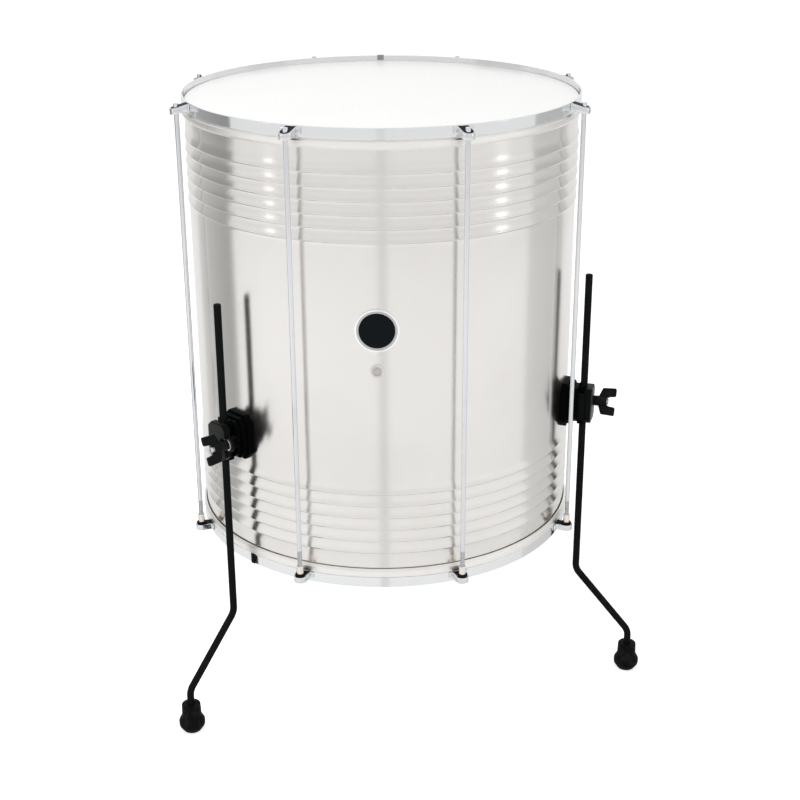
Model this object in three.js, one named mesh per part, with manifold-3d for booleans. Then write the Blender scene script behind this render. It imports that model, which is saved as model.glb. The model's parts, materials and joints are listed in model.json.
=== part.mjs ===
// A floor surdo, the deep aluminium bass drum of a samba band, on three clamped legs.
// Millimetres, +Z up, standing on its feet with the playing head on top.
// An azimuth is an angle round the drum's upright axis: 0 faces the front, -Y, and it grows towards +X.
// Inside a group turned to an azimuth, x runs out from the drum's axis and y runs round it.
import * as THREE from "three";
import { mergeVertices } from "three/addons/utils/BufferGeometryUtils.js";
import Module from "manifold-3d";

// Fits and facets
const clearance = 0.3;
const overrun = 2;
const drumSides = 48;
const rodSides = 8;
const nutSides = 8;
const holeSides = 8;
const legSides = 8;
const footSides = 12;
const boreSides = 12;
const discSides = 20;

// Shell
const shellDiameter = 508;
const shellWall = 1.2;
const shellLength = 574.6;
const standHeight = 228.5;
const lipDepth = 4;
const lipHeight = 3;
const beadCount = 6;
const beadPitch = 16.3;
const beadWidth = 12.7;
const beadRise = 1.8;
const beadFacets = 3;
const upperBeadsDrop = 27.6;
const lowerBeadsRise = 42.6;

// Heads: a film over the shell's edge, crimped into a flesh hoop round the shell
const filmThickness = 0.5;
const collarDepth = 7;
const fleshHoopWidth = 3.9;
const fleshHoopHeight = 7.8;
const fleshHoopSlope = 3.4;
const fleshHoopBevel = 1.4;

// Hoops: flat bands that stand on the flesh hoops
const bandThickness = 2.4;
const bandHeight = 14.1;
const clipWidth = 12;
const clipSheet = 0.9;
const clipOffset = 7.7;
const topClipFacet = -15;
const bottomClipFacet = 3;

// Tension rods, their nuts, and the strap lugs that hold them
const rodCount = 8;
const firstRodAzimuth = -68.92;
const rodDiameter = 6;
const rodOffset = 13.9;
const rodHeadDiameter = 8;
const rodHeadHeight = 7;
const rodChamfer = 0.8;
const flangeDiameter = 11.4;
const flangeHeight = 2.2;
const rodEndRecess = 3.5;
const nutDiameter = 8.6;
const nutRise = 19.9;
const lugHeight = 8;
const lugSheet = 1.8;
const lugLoopRadius = 6.3;
const lugTab = 8.2;
const lugShelf = 2;
const topLugInset = 3.6;
const bottomLugInset = 5.7;
const bottomLugPocket = 2.8;
const loopFacets = 6;

// Badge and vent on the front of the shell
const trimOffset = -2.1;
const trimFacet = 9;
const ventDrop = 25.9;
const ventBore = 12;
const ventWall = 1;
const ventFlange = 2;
const ventFlangeSheet = 0.9;
const badgeDrop = 83.9;
const badgeDiameter = 52.2;
const badgeThickness = 1.5;

// Legs: round rod with two bends, from the clamp down to a foot that stands further out
const legAzimuths = { left: -46.9, right: 73.1, rear: 193.1 };
const legDiameter = 9.5;
const legOffset = 26.2;
const legTop = 582.1;
const footReach = 78.4;
const upperBendHeight = 148.4;
const lowerBendHeight = 59.8;
const bendRadius = 20;
const bendSides = 4;
const footHeight = 40;
const footSocketWall = 7.4;
const footFlare = 5.2;
const footShoulderHeight = 23;
const footWidestHeight = 16;
const footSoleRadius = 11.5;
const footSoleThickness = 8;

// Leg brackets: a stepped casting on the shell, a clamp plate over the leg, a stud and a wing nut
const bracketRise = 2.2;
const stepDepth = 7;
const stepCount = 3;
const stepWidth = 50.6;
const stepHeight = 60.8;
const stepWidthLoss = 6.05;
const stepHeightLoss = 6.6;
const stepCut = 10;
const stepCutLoss = 1;
const guideHeight = 54.7;
const guideCut = 3;
const guideGap = 1.7;
const plateWidth = 34.4;
const plateHeight = 48.6;
const plateCut = 6;
const plateWrap = 1.5;
const earSheet = 3.8;
const earRadius = 11;
const padSheet = 9.2;
const washerRoom = 8.8;
const heelWidth = 5;
const heelHeight = 36;
const studDiameter = 8;
const studOffset = 14.8;
const studDrop = 1.3;
const studLength = 58;
const studHeadRadius = 7.5;
const studHeadHeight = 3.4;
const studChamfer = 1.2;
const washerSheet = 1.6;
const wingHubRadius = 7;
const wingHubLength = 20.4;
const wingHubTaper = 1;
const wingRootShare = 0.5;
const wingSpread = 16.5;
const wingRise = 31;
const wingWidth = 10;
const wingThickness = 5.4;
const wingCorner = 1.6;
const wingAngles = { left: -58, right: 58, rear: -58 };

// Sizes that follow from those
const shellRadius = shellDiameter / 2;
const shellBottom = standHeight;
const shellTop = shellBottom + shellLength;
const halfFacet = 180 / drumSides;
const flatShare = Math.cos(THREE.MathUtils.degToRad(halfFacet));
const facetStep = 360 / drumSides;
const rodStep = 360 / rodCount;
const collarRadius = shellRadius + clearance;
const bandInner = collarRadius + filmThickness + clearance;
const bandRadius = bandInner + bandThickness;
const rodCircle = bandRadius + rodOffset;
const legCircle = shellRadius + legOffset;
const footCircle = legCircle + footReach;
const legRadius = legDiameter / 2;
const studRadius = studDiameter / 2;
const lowerBeadsTop = shellBottom + lowerBeadsRise + beadCount * beadPitch;
const upperBeadsBottom = shellTop - upperBeadsDrop - beadCount * beadPitch;
const badgeHeight = upperBeadsBottom - badgeDrop - badgeDiameter / 2;
const ventHeight = badgeHeight - badgeDiameter / 2 - ventDrop;
const bracketHeight = lowerBeadsTop + bracketRise + stepHeight / 2;
const studHeight = bracketHeight - studDrop;

// Heights at one end of the drum, measured outwards from the shell's edge
const filmFace = clearance + filmThickness;
const fleshHoopFace = filmFace - collarDepth;
const bandLow = fleshHoopFace + clearance;
const bandHigh = bandLow + bandHeight;
const topLug = { high: bandHigh - topLugInset, pocket: lugHeight - lugShelf, passes: rodDiameter / 2 };
const bottomLug = { high: bandHigh - bottomLugInset, pocket: bottomLugPocket, passes: nutDiameter / 2 };

const radians = THREE.MathUtils.degToRad;
const wasm = await Module();
wasm.setup();

// Merges shared corners, drops triangles without area, and turns the faces outwards.
function welded(source) {
  const plain = source.clone();
  plain.deleteAttribute("normal");
  plain.deleteAttribute("uv");
  const merged = mergeVertices(plain);
  const corners = merged.index.array;
  const places = merged.attributes.position;
  const [a, b, c] = [new THREE.Vector3(), new THREE.Vector3(), new THREE.Vector3()];
  const kept = [];
  let volume = 0;
  for (let i = 0; i < corners.length; i += 3) {
    const [p, q, r] = [corners[i], corners[i + 1], corners[i + 2]];
    if (p === q || q === r || r === p) continue;
    kept.push([p, q, r]);
    a.fromBufferAttribute(places, p);
    b.fromBufferAttribute(places, q);
    c.fromBufferAttribute(places, r);
    volume += a.dot(b.cross(c));
  }
  const outward = volume < 0 ? kept.map(([p, q, r]) => [p, r, q]) : kept;
  merged.setIndex(outward.flat());
  return merged;
}

function solidOf(geometry) {
  const closed = welded(geometry);
  const vertProperties = new Float32Array(closed.attributes.position.array);
  const triVerts = new Uint32Array(closed.index.array);
  return new wasm.Manifold(new wasm.Mesh({ numProp: 3, vertProperties, triVerts }));
}

function geometryOf(solid) {
  const mesh = solid.getMesh();
  const geometry = new THREE.BufferGeometry();
  geometry.setAttribute("position", new THREE.BufferAttribute(mesh.vertProperties, 3));
  geometry.setIndex(new THREE.BufferAttribute(mesh.triVerts, 1));
  return geometry;
}

function joined(first, ...others) {
  return geometryOf(others.reduce((whole, piece) => whole.add(solidOf(piece)), solidOf(first)));
}

function cut(body, ...tools) {
  return geometryOf(tools.reduce((left, tool) => left.subtract(solidOf(tool)), solidOf(body)));
}

function common(first, second) {
  return geometryOf(solidOf(first).intersect(solidOf(second)));
}

// A profile of [radius, height] pairs turned about the drum's axis, with a flat facet at every rod.
function turned(profile) {
  const points = profile.map(([radius, height]) => new THREE.Vector2(radius, height));
  const start = radians(firstRodAzimuth + halfFacet);
  return new THREE.LatheGeometry(points, drumSides, start, 2 * Math.PI).rotateX(Math.PI / 2);
}

// A profile turned about an upright axis, distance out from the drum's axis.
function upright(profile, sides, distance = 0) {
  const points = profile.map(([radius, height]) => new THREE.Vector2(radius, height));
  return new THREE.LatheGeometry(points, sides).rotateX(Math.PI / 2).translate(distance, 0, 0);
}

// A profile of [radius, distance out] pairs turned about an axis that runs out from the drum.
function outwardTurned(profile, sides, offset = 0, height = 0) {
  const points = profile.map(([radius, out]) => new THREE.Vector2(radius, out));
  const lathe = new THREE.LatheGeometry(points, sides);
  const turn = new THREE.Matrix4().set(0, 1, 0, 0, 0, 0, 1, 0, 1, 0, 0, 0, 0, 0, 0, 1);
  return lathe.applyMatrix4(turn).translate(0, offset, height);
}

// An outline drawn round the drum and upwards, given thickness outwards from one distance to another.
function slab(outline, from, to) {
  const plate = new THREE.ExtrudeGeometry(outline, { depth: to - from, bevelEnabled: false });
  const turn = new THREE.Matrix4().set(0, 0, 1, from, 1, 0, 0, 0, 0, 1, 0, 0, 0, 0, 0, 1);
  return plate.applyMatrix4(turn);
}

// An outline drawn outwards and round the drum, given height from one level to another.
function risen(outline, from, to, facets = loopFacets) {
  const options = { depth: to - from, bevelEnabled: false, curveSegments: facets };
  return new THREE.ExtrudeGeometry(outline, options).translate(0, 0, from);
}

function rod(radius, from, to) {
  return [[0, from], [radius, from], [radius, to], [0, to]];
}

// The corner radius of a faceted hole whose flats clear a round of this radius.
function round(radius, sides) {
  return (radius + clearance) / Math.cos(Math.PI / sides);
}

function polygon(points) {
  return new THREE.Shape(points.map(([x, y]) => new THREE.Vector2(x, y)));
}

function rectangle(left, right, low, high) {
  return polygon([[left, low], [right, low], [right, high], [left, high]]);
}

function cutCorners(left, right, low, high, corner) {
  return polygon([
    [left + corner, low], [right - corner, low], [right, low + corner], [right, high - corner],
    [right - corner, high], [left + corner, high], [left, high - corner], [left, low + corner],
  ]);
}

// Shell: rolled beads stand out from the smooth wall, and both edges turn in to a lip for the heads.
function beadPoints(low) {
  const points = [];
  for (let i = 0; i <= beadFacets; i += 1) {
    const share = i / beadFacets;
    points.push([shellRadius + beadRise * Math.sin(Math.PI * share), low + beadWidth * share]);
  }
  points[0][0] = shellRadius;
  points[beadFacets][0] = shellRadius;
  return points;
}

function beadGroup(low) {
  const points = [];
  for (let i = 0; i < beadCount; i += 1) {
    points.push(...beadPoints(low + (i + 1) * beadPitch - beadWidth));
  }
  return points;
}

function shell() {
  const wall = shellRadius - shellWall;
  const lip = shellRadius - lipDepth;
  const profile = [
    [lip, shellBottom], [shellRadius, shellBottom],
    ...beadGroup(shellBottom + lowerBeadsRise),
    ...beadGroup(upperBeadsBottom),
    [shellRadius, shellTop], [lip, shellTop],
    [lip, shellTop - lipHeight], [wall, shellTop - lipHeight - lipDepth],
    [wall, shellBottom + lipHeight + lipDepth], [lip, shellBottom + lipHeight],
    [lip, shellBottom],
  ];
  const hole = round(ventBore / 2 + ventWall, discSides);
  const drill = outwardTurned(rod(hole, wall - overrun, shellRadius + overrun), discSides, trimOffset, ventHeight);
  return cut(turned(profile), drill.rotateZ(turnTo(facetAzimuth(trimFacet))));
}

// The rotation about +Z that points x outwards at an azimuth.
function turnTo(azimuth) {
  return radians(azimuth - 90);
}

function facetAzimuth(facet) {
  return firstRodAzimuth + facet * facetStep;
}

// Ends of the drum: every piece is drawn once, outwards from the shell's edge, and used at both ends.
function atTop(geometry) {
  return geometry.translate(0, 0, shellTop);
}

function atBottom(geometry) {
  return welded(geometry.scale(1, 1, -1).translate(0, 0, shellBottom));
}

function head() {
  const hoopRadius = collarRadius + fleshHoopWidth;
  const hoopLow = fleshHoopFace - fleshHoopHeight;
  return turned([
    [0, clearance], [collarRadius, clearance], [collarRadius, hoopLow - fleshHoopSlope],
    [hoopRadius, hoopLow], [hoopRadius, fleshHoopFace - fleshHoopBevel],
    [hoopRadius - fleshHoopBevel, fleshHoopFace], [collarRadius + filmThickness, fleshHoopFace],
    [collarRadius + filmThickness, filmFace], [0, filmFace],
  ]);
}

function hoop() {
  return turned([
    [bandInner, bandLow], [bandRadius, bandLow], [bandRadius, bandHigh], [bandInner, bandHigh], [bandInner, bandLow],
  ]);
}

function hoopClip() {
  const outside = bandRadius * flatShare + clearance;
  const inside = bandInner * flatShare - clearance;
  const ridge = bandHigh + clearance;
  const outline = polygon([
    [outside, bandLow], [outside + clipSheet, bandLow], [outside + clipSheet, ridge + clipSheet],
    [inside - clipSheet, ridge + clipSheet], [inside - clipSheet, filmFace + clipSheet],
    [inside, filmFace + clipSheet], [inside, ridge], [outside, ridge],
  ]);
  const saddle = new THREE.ExtrudeGeometry(outline, { depth: clipWidth, bevelEnabled: false });
  return saddle.rotateX(Math.PI / 2).translate(0, clipOffset + clipWidth / 2, 0);
}

// The room inside a lug's loop, from a back line out to its round end.
function loopRoom(back, radius) {
  const outline = new THREE.Shape();
  outline.moveTo(back, -radius);
  outline.lineTo(rodCircle, -radius);
  outline.absarc(rodCircle, 0, radius, -Math.PI / 2, Math.PI / 2, false);
  outline.lineTo(back, radius);
  return outline;
}

// A lug is a strap bent round the rod, with two tabs flat on the band and a shelf inside the loop.
function lug({ high, pocket, passes }) {
  const low = high - lugHeight;
  const back = bandRadius * flatShare + clearance;
  const loop = lugLoopRadius + lugSheet;
  const strap = new THREE.Shape();
  strap.moveTo(back, -loop - lugTab);
  strap.lineTo(back + lugSheet, -loop - lugTab);
  strap.lineTo(back + lugSheet, -loop);
  strap.lineTo(rodCircle, -loop);
  strap.absarc(rodCircle, 0, loop, -Math.PI / 2, Math.PI / 2, false);
  strap.lineTo(back + lugSheet, loop);
  strap.lineTo(back + lugSheet, loop + lugTab);
  strap.lineTo(back, loop + lugTab);
  const inside = loopRoom(back - overrun, lugLoopRadius);
  const outerPocket = risen(inside, high - pocket, high + overrun);
  const innerPocket = risen(inside, low - overrun, high - pocket - lugShelf);
  const hole = rod(round(passes, holeSides), low - overrun, high + overrun);
  return cut(risen(strap, low, high), outerPocket, innerPocket, upright(hole, holeSides, rodCircle));
}

// Tension rods hang by a flange on the shelf of the top lug, and end inside the nut of the bottom lug.
const rodSeat = shellTop + topLug.high - topLug.pocket + clearance;
const nutSeat = shellBottom - bottomLug.high + bottomLug.pocket - clearance;

function tensionRod() {
  const radius = rodDiameter / 2;
  const head = rodHeadDiameter / 2;
  const bottom = nutSeat - flangeHeight + rodEndRecess;
  const flangeTop = rodSeat + flangeHeight;
  const top = flangeTop + rodHeadHeight;
  return upright([
    [0, bottom], [radius, bottom], [radius, rodSeat],
    [flangeDiameter / 2, rodSeat], [flangeDiameter / 2, flangeTop], [head, flangeTop],
    [head, top - rodChamfer], [head - rodChamfer, top], [0, top],
  ], rodSides, rodCircle);
}

function rodNut() {
  const bore = round(rodDiameter / 2, nutSides);
  const outer = nutDiameter / 2;
  const top = nutSeat + nutRise;
  return upright([
    [bore, nutSeat - flangeHeight], [flangeDiameter / 2, nutSeat - flangeHeight], [flangeDiameter / 2, nutSeat],
    [outer, nutSeat], [outer, top], [bore, top], [bore, nutSeat - flangeHeight],
  ], nutSides, rodCircle);
}

// Vent eyelet: a tube through the wall with a flange on each side of it.
function ventEyelet() {
  const bore = ventBore / 2;
  const tube = bore + ventWall;
  const flange = tube + ventFlange;
  const outside = shellRadius * flatShare + clearance;
  const inside = (shellRadius - shellWall) * flatShare - clearance;
  return outwardTurned([
    [bore, inside - ventFlangeSheet], [flange, inside - ventFlangeSheet], [flange, inside], [tube, inside],
    [tube, outside], [flange, outside], [flange, outside + ventFlangeSheet], [bore, outside + ventFlangeSheet],
    [bore, inside - ventFlangeSheet],
  ], boreSides, trimOffset, ventHeight);
}

// The badge is a round plate curved to the shell.
function badge() {
  const inner = shellRadius + clearance;
  const outer = inner + badgeThickness;
  const low = badgeHeight - badgeDiameter;
  const high = badgeHeight + badgeDiameter;
  const sheet = turned([[inner, low], [outer, low], [outer, high], [inner, high], [inner, low]]);
  const reach = rod(badgeDiameter / 2, inner - badgeDiameter / 2, outer + overrun);
  const disc = outwardTurned(reach, discSides, trimOffset, badgeHeight);
  return common(sheet.rotateZ(-turnTo(facetAzimuth(trimFacet))), disc);
}

// A route through hand-set stations: the swept section stands square at each one.
class Route extends THREE.Curve {
  constructor(stations) {
    super();
    this.stations = stations;
  }

  station(share) {
    return this.stations[Math.round(share * (this.stations.length - 1))];
  }

  getPoint(share) {
    return this.station(share).place.clone();
  }

  getTangent(share) {
    return this.station(share).heading.clone();
  }

  getUtoTmapping(share) {
    return share;
  }
}

// Stations of an arc that rounds a corner between two straight runs.
function bend(before, corner, after) {
  const arrive = corner.clone().sub(before).normalize();
  const leave = after.clone().sub(corner).normalize();
  const angle = arrive.angleTo(leave);
  const start = corner.clone().addScaledVector(arrive, -bendRadius * Math.tan(angle / 2));
  const inwards = leave.clone().addScaledVector(arrive, -leave.dot(arrive)).normalize();
  const centre = start.clone().addScaledVector(inwards, bendRadius);
  const stations = [];
  for (let i = 0; i <= bendSides; i += 1) {
    const turn = angle * i / bendSides;
    const place = centre.clone();
    place.addScaledVector(inwards, -bendRadius * Math.cos(turn));
    place.addScaledVector(arrive, bendRadius * Math.sin(turn));
    const heading = arrive.clone().multiplyScalar(Math.cos(turn)).addScaledVector(inwards, Math.sin(turn));
    stations.push({ place, heading });
  }
  return stations;
}

function leg() {
  const corners = [
    new THREE.Vector3(legCircle, 0, legTop),
    new THREE.Vector3(legCircle, 0, upperBendHeight),
    new THREE.Vector3(footCircle, 0, lowerBendHeight),
    new THREE.Vector3(footCircle, 0, footSoleThickness + clearance),
  ];
  const down = new THREE.Vector3(0, 0, -1);
  const stations = [
    { place: corners[0], heading: down },
    ...bend(corners[0], corners[1], corners[2]),
    ...bend(corners[1], corners[2], corners[3]),
    { place: corners[3], heading: down },
  ];
  const section = [];
  for (let i = 0; i < legSides; i += 1) {
    const turn = 2 * Math.PI * i / legSides;
    section.push([legRadius * Math.cos(turn), legRadius * Math.sin(turn)]);
  }
  const options = { steps: stations.length - 1, extrudePath: new Route(stations) };
  return new THREE.ExtrudeGeometry(polygon(section), options);
}

// Rubber foot: a socket over the leg's end, flaring to a rounded shoe.
function foot() {
  const bore = round(legRadius, footSides);
  const socket = bore + footSocketWall;
  const widest = socket + footFlare;
  return upright([
    [0, 0], [footSoleRadius, 0],
    [(footSoleRadius + 2 * widest) / 3, footWidestHeight / 4], [widest, footWidestHeight * 2 / 3],
    [widest, footWidestHeight], [socket, footShoulderHeight], [socket, footHeight],
    [bore, footHeight], [bore, footSoleThickness], [0, footSoleThickness],
  ], footSides, footCircle);
}

// Bracket levels, outwards from the shell
const castingBack = shellRadius - stepDepth;
const castingFace = shellRadius + stepCount * stepDepth - clearance;
const plateBack = legCircle + legRadius - plateWrap;
const guideFace = plateBack - guideGap;
const earFace = plateBack + earSheet;
const padFace = plateBack + padSheet;
const wingBack = earFace + washerSheet + 2 * clearance;
const guideHalf = studOffset - studRadius - clearance;

function bracket(azimuth) {
  const steps = [];
  for (let i = 0; i < stepCount; i += 1) {
    const half = stepWidth / 2 - i * stepWidthLoss / 2;
    const rise = stepHeight / 2 - i * stepHeightLoss / 2;
    const from = i === 0 ? castingBack : shellRadius + i * stepDepth - overrun;
    const outline = cutCorners(-half, half, -rise, rise, stepCut - i * stepCutLoss);
    steps.push(slab(outline, from, shellRadius + (i + 1) * stepDepth - clearance));
  }
  const guideOutline = cutCorners(-guideHalf, guideHalf, -guideHeight / 2, guideHeight / 2, guideCut);
  const whole = joined(...steps, slab(guideOutline, castingFace - overrun, guideFace));
  const groove = round(legRadius, boreSides);
  const legRoom = upright(rod(groove, -stepHeight, stepHeight), boreSides, legCircle);
  const channel = rectangle(-groove, groove, -stepHeight, stepHeight);
  const mouth = slab(channel, legCircle, guideFace + overrun);
  const studHole = rod(round(studRadius, boreSides), castingBack - overrun, castingFace + overrun);
  const studRoom = outwardTurned(studHole, boreSides, studOffset, -studDrop);
  const headTop = shellRadius + studHeadHeight + 2 * clearance;
  const headHole = rod(round(studHeadRadius, boreSides), castingBack - overrun, headTop);
  const headRoom = outwardTurned(headHole, boreSides, studOffset, -studDrop);
  const drum = turned(rod(shellRadius + clearance, -shellLength, shellLength)).rotateZ(-turnTo(azimuth));
  return cut(whole, legRoom, mouth, studRoom, headRoom, drum).translate(0, 0, bracketHeight);
}

// Clamp stud: its head is held between the shell and the casting.
function clampStud() {
  const back = shellRadius + clearance;
  const neck = back + studHeadHeight;
  const tip = shellRadius + studLength;
  return outwardTurned([
    [0, back], [studHeadRadius, back], [studHeadRadius, neck], [studRadius, neck],
    [studRadius, tip - studChamfer], [studRadius - studChamfer, tip], [0, tip],
  ], legSides, studOffset, studHeight);
}

// Clamp plate: a pad over the leg, a thinner ear on the stud, and a heel that bears on the casting.
function clampPlate() {
  const half = plateWidth / 2;
  const rise = plateHeight / 2;
  const outline = cutCorners(-half, half, -rise, rise, plateCut);
  const ear = outwardTurned(rod(earRadius, plateBack, earFace), discSides, studOffset, -studDrop);
  const heelOutline = rectangle(-half, heelWidth - half, -heelHeight / 2, heelHeight / 2);
  const heel = slab(heelOutline, castingFace + clearance, plateBack + earSheet);
  const whole = joined(slab(outline, plateBack, padFace), ear, heel);
  const seat = outwardTurned(rod(washerRoom, earFace, padFace + overrun), boreSides, studOffset, -studDrop);
  const hole = rod(round(studRadius, boreSides), plateBack - overrun, padFace + overrun);
  const studRoom = outwardTurned(hole, boreSides, studOffset, -studDrop);
  const legRoom = upright(rod(round(legRadius, boreSides), -plateHeight, plateHeight), boreSides, legCircle);
  return cut(whole, seat, studRoom, legRoom).translate(0, 0, bracketHeight);
}

// Wing nut: a long hub and two wings that splay outwards past the stud's tip.
function wingNut(angle) {
  const hubEnd = wingBack + wingHubLength;
  const hub = outwardTurned([
    [0, wingBack], [wingHubRadius, wingBack], [wingHubRadius, hubEnd - wingHubTaper],
    [wingHubRadius - wingHubTaper, hubEnd], [0, hubEnd],
  ], discSides / 2);
  const root = new THREE.Vector2(wingBack + wingHubLength * wingRootShare, 0);
  const tip = new THREE.Vector2(wingBack + wingRise, wingSpread);
  const along = tip.clone().sub(root).normalize();
  const across = new THREE.Vector2(-along.y, along.x).multiplyScalar(wingWidth / 2);
  const corner = along.clone().multiplyScalar(wingCorner);
  const slim = across.clone().multiplyScalar(1 - 2 * wingCorner / wingWidth);
  const blade = new THREE.Shape([
    root.clone().sub(across), tip.clone().sub(corner).sub(across), tip.clone().sub(slim),
    tip.clone().add(slim), tip.clone().sub(corner).add(across), root.clone().add(across),
  ]);
  const wing = risen(blade, -wingThickness / 2, wingThickness / 2);
  const wings = [wing.clone().rotateX(radians(angle)), wing.clone().rotateX(radians(angle + 180))];
  const bore = outwardTurned(rod(round(studRadius, boreSides), wingBack - overrun, hubEnd + wingRise), boreSides);
  return cut(joined(hub, ...wings), bore).translate(0, studOffset, studHeight);
}

// Finishes
function finish(color, metalness, roughness) {
  return { color, metalness, roughness };
}

const aluminium = finish(0xd2d2d0, 0.9, 0.38);
const chrome = finish(0xdfe1e3, 1, 0.12);
const cream = finish(0xece9e2, 0.1, 0.4);
const enamel = finish(0x101212, 0.3, 0.42);
const rubber = finish(0x171717, 0, 0.75);
const plastic = finish(0x0d0e0f, 0, 0.45);

const drum = new THREE.Group();

function add(parent, name, geometry, look) {
  const shown = welded(geometry).toNonIndexed();
  shown.computeVertexNormals();
  const mesh = new THREE.Mesh(shown, new THREE.MeshStandardMaterial(look));
  mesh.name = name;
  parent.add(mesh);
}

function groupAt(azimuth) {
  const place = new THREE.Group();
  place.rotation.z = turnTo(azimuth);
  drum.add(place);
  return place;
}

add(drum, "shell", shell(), aluminium);
add(drum, "top_head", atTop(head()), cream);
add(drum, "bottom_head", atBottom(head()), cream);
add(drum, "top_hoop", atTop(hoop()), chrome);
add(drum, "bottom_hoop", atBottom(hoop()), chrome);

for (let i = 0; i < rodCount; i += 1) {
  const place = groupAt(firstRodAzimuth + i * rodStep);
  add(place, `top_lug_${i + 1}`, atTop(lug(topLug)), chrome);
  add(place, `bottom_lug_${i + 1}`, atBottom(lug(bottomLug)), chrome);
  add(place, `tension_rod_${i + 1}`, tensionRod(), chrome);
  add(place, `rod_nut_${i + 1}`, rodNut(), chrome);
}

add(groupAt(facetAzimuth(topClipFacet)), "top_hoop_clip", atTop(hoopClip()), plastic);
add(groupAt(facetAzimuth(bottomClipFacet)), "bottom_hoop_clip", atBottom(hoopClip()), plastic);

const trim = groupAt(facetAzimuth(trimFacet));
add(trim, "vent_eyelet", ventEyelet(), aluminium);
add(trim, "badge", badge(), plastic);

for (const [side, azimuth] of Object.entries(legAzimuths)) {
  const place = groupAt(azimuth);
  add(place, `${side}_leg`, leg(), enamel);
  add(place, `${side}_foot`, foot(), rubber);
  add(place, `${side}_bracket`, bracket(azimuth), enamel);
  add(place, `${side}_clamp_stud`, clampStud(), chrome);
  add(place, `${side}_clamp_plate`, clampPlate(), enamel);
  add(place, `${side}_wing_nut`, wingNut(wingAngles[side]), enamel);
}

// The origin is on the floor under the middle of the whole drum's box.
drum.updateMatrixWorld(true);
const middle = new THREE.Box3().setFromObject(drum, true).getCenter(new THREE.Vector3());
drum.position.set(-middle.x, -middle.y, 0);

export default drum;
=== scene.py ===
# %% [markdown]
# # A floor surdo
#
# A surdo is the deep bass drum of a samba band. This one stands on three bent legs. Its body is one
# sheet of aluminium rolled into a tube, and eight long rods pull a bright hoop down on each head.
#
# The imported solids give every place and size. They are plain and faceted, so they are redrawn here as
# smooth surfaces. A redrawn piece rides on the same moving body as the solid that it stands for.

import json

import bmesh
import bpy
import numpy as np
from mathutils import Matrix, Vector


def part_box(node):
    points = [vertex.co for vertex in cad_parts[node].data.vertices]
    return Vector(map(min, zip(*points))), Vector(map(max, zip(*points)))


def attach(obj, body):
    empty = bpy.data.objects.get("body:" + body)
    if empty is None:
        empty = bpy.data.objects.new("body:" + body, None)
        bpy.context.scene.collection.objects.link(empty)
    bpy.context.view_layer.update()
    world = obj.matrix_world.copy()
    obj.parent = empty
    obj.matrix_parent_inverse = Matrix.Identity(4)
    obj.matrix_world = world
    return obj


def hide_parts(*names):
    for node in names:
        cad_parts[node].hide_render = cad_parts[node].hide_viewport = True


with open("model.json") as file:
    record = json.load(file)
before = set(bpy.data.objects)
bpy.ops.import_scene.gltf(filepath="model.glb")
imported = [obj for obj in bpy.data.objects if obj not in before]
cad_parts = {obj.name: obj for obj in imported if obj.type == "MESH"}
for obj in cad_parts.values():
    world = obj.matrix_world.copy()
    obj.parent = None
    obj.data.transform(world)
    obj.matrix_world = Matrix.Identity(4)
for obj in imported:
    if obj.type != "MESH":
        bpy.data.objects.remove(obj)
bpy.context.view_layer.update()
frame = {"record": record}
body_of_node = {node: body for body, nodes in frame["record"]["behaviour"]["bodies"].items()
                for node in nodes}

# %% [markdown]
# ## Where things are
#
# A drum is drawn best round its own upright axis. The feet stand out unevenly, so that axis isn't over
# the frame's origin. It is found from the shell's box. All lengths below are millimetres from that axis
# and from the floor, and they become metres only when a mesh is made.
#
# A place on the drum is an azimuth with three lengths: out from the axis, round the drum, and up.
# Azimuth 0 faces the front, which is -Y, and it grows towards +X.

# %% Places
METRE = 1000


def box_of(node):
    """The low and the high corner of a solid's box, in millimetres."""
    return np.array(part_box(node)) * METRE


shell_low, shell_high = box_of("shell")
drum_axis = np.append((shell_low + shell_high)[:2] / 2, 0)
shell_bottom, shell_top = shell_low[2], shell_high[2]


def at(azimuth, out, side, up):
    """out * (sin a, -cos a) + side * (cos a, sin a), with up as the height."""
    a, out, side, up = np.broadcast_arrays(np.radians(azimuth), out, side, up)
    return np.stack((out * np.sin(a) + side * np.cos(a), side * np.sin(a) - out * np.cos(a), up), axis=-1)


def middle_of(node):
    """The middle of a solid's box, as an azimuth and a distance out."""
    x, y = (box_of(node).mean(0) - drum_axis)[:2]
    return np.degrees(np.arctan2(x, -y)), np.hypot(x, y)


rod_azimuths = {k: middle_of(f"tension_rod_{k}")[0] for k in range(1, 9)}
rod_circle = middle_of("tension_rod_1")[1]
leg_azimuths = {side: middle_of(f"{side}_foot")[0] for side in ("left", "right", "rear")}
foot_circle = middle_of("left_foot")[1]
print("axis", drum_axis.round(2), "shell", shell_bottom.round(1), "to", shell_top.round(1))
for what, azimuths, circle in (("rods", rod_azimuths, rod_circle), ("feet", leg_azimuths, foot_circle)):
    print(what, "at", {k: round(float(a), 2) for k, a in azimuths.items()}, "on", round(float(circle), 2))

# %% [markdown]
# ## Surfaces from grids
#
# Turned, bent and pressed metal all come from one kind of surface: a row of points carried along
# something. A grid holds one row for each step, and the last point of a row joins its first. Either the
# last row also joins the first row, as in a ring, or both ends are closed with a flat cap.
#
# One helper turns such grids into a mesh. It works with whole arrays, so even the shell, with well over
# a hundred thousand points, takes only a moment.

# %% From grids to a mesh
MERGE = 2e-6


def grid_faces(rows, columns, ring):
    """Quad (i, j), (i, j+1), (i+1, j+1), (i+1, j), with j wrapped, and i wrapped too in a ring."""
    i = np.arange(rows if ring else rows - 1)[:, None]
    j = np.arange(columns)[None, :]
    corners = [(i % rows) * columns + j % columns, (i % rows) * columns + (j + 1) % columns,
               ((i + 1) % rows) * columns + (j + 1) % columns, ((i + 1) % rows) * columns + j % columns]
    return np.stack(np.broadcast_arrays(*corners), axis=-1).reshape(-1, 4)


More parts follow.
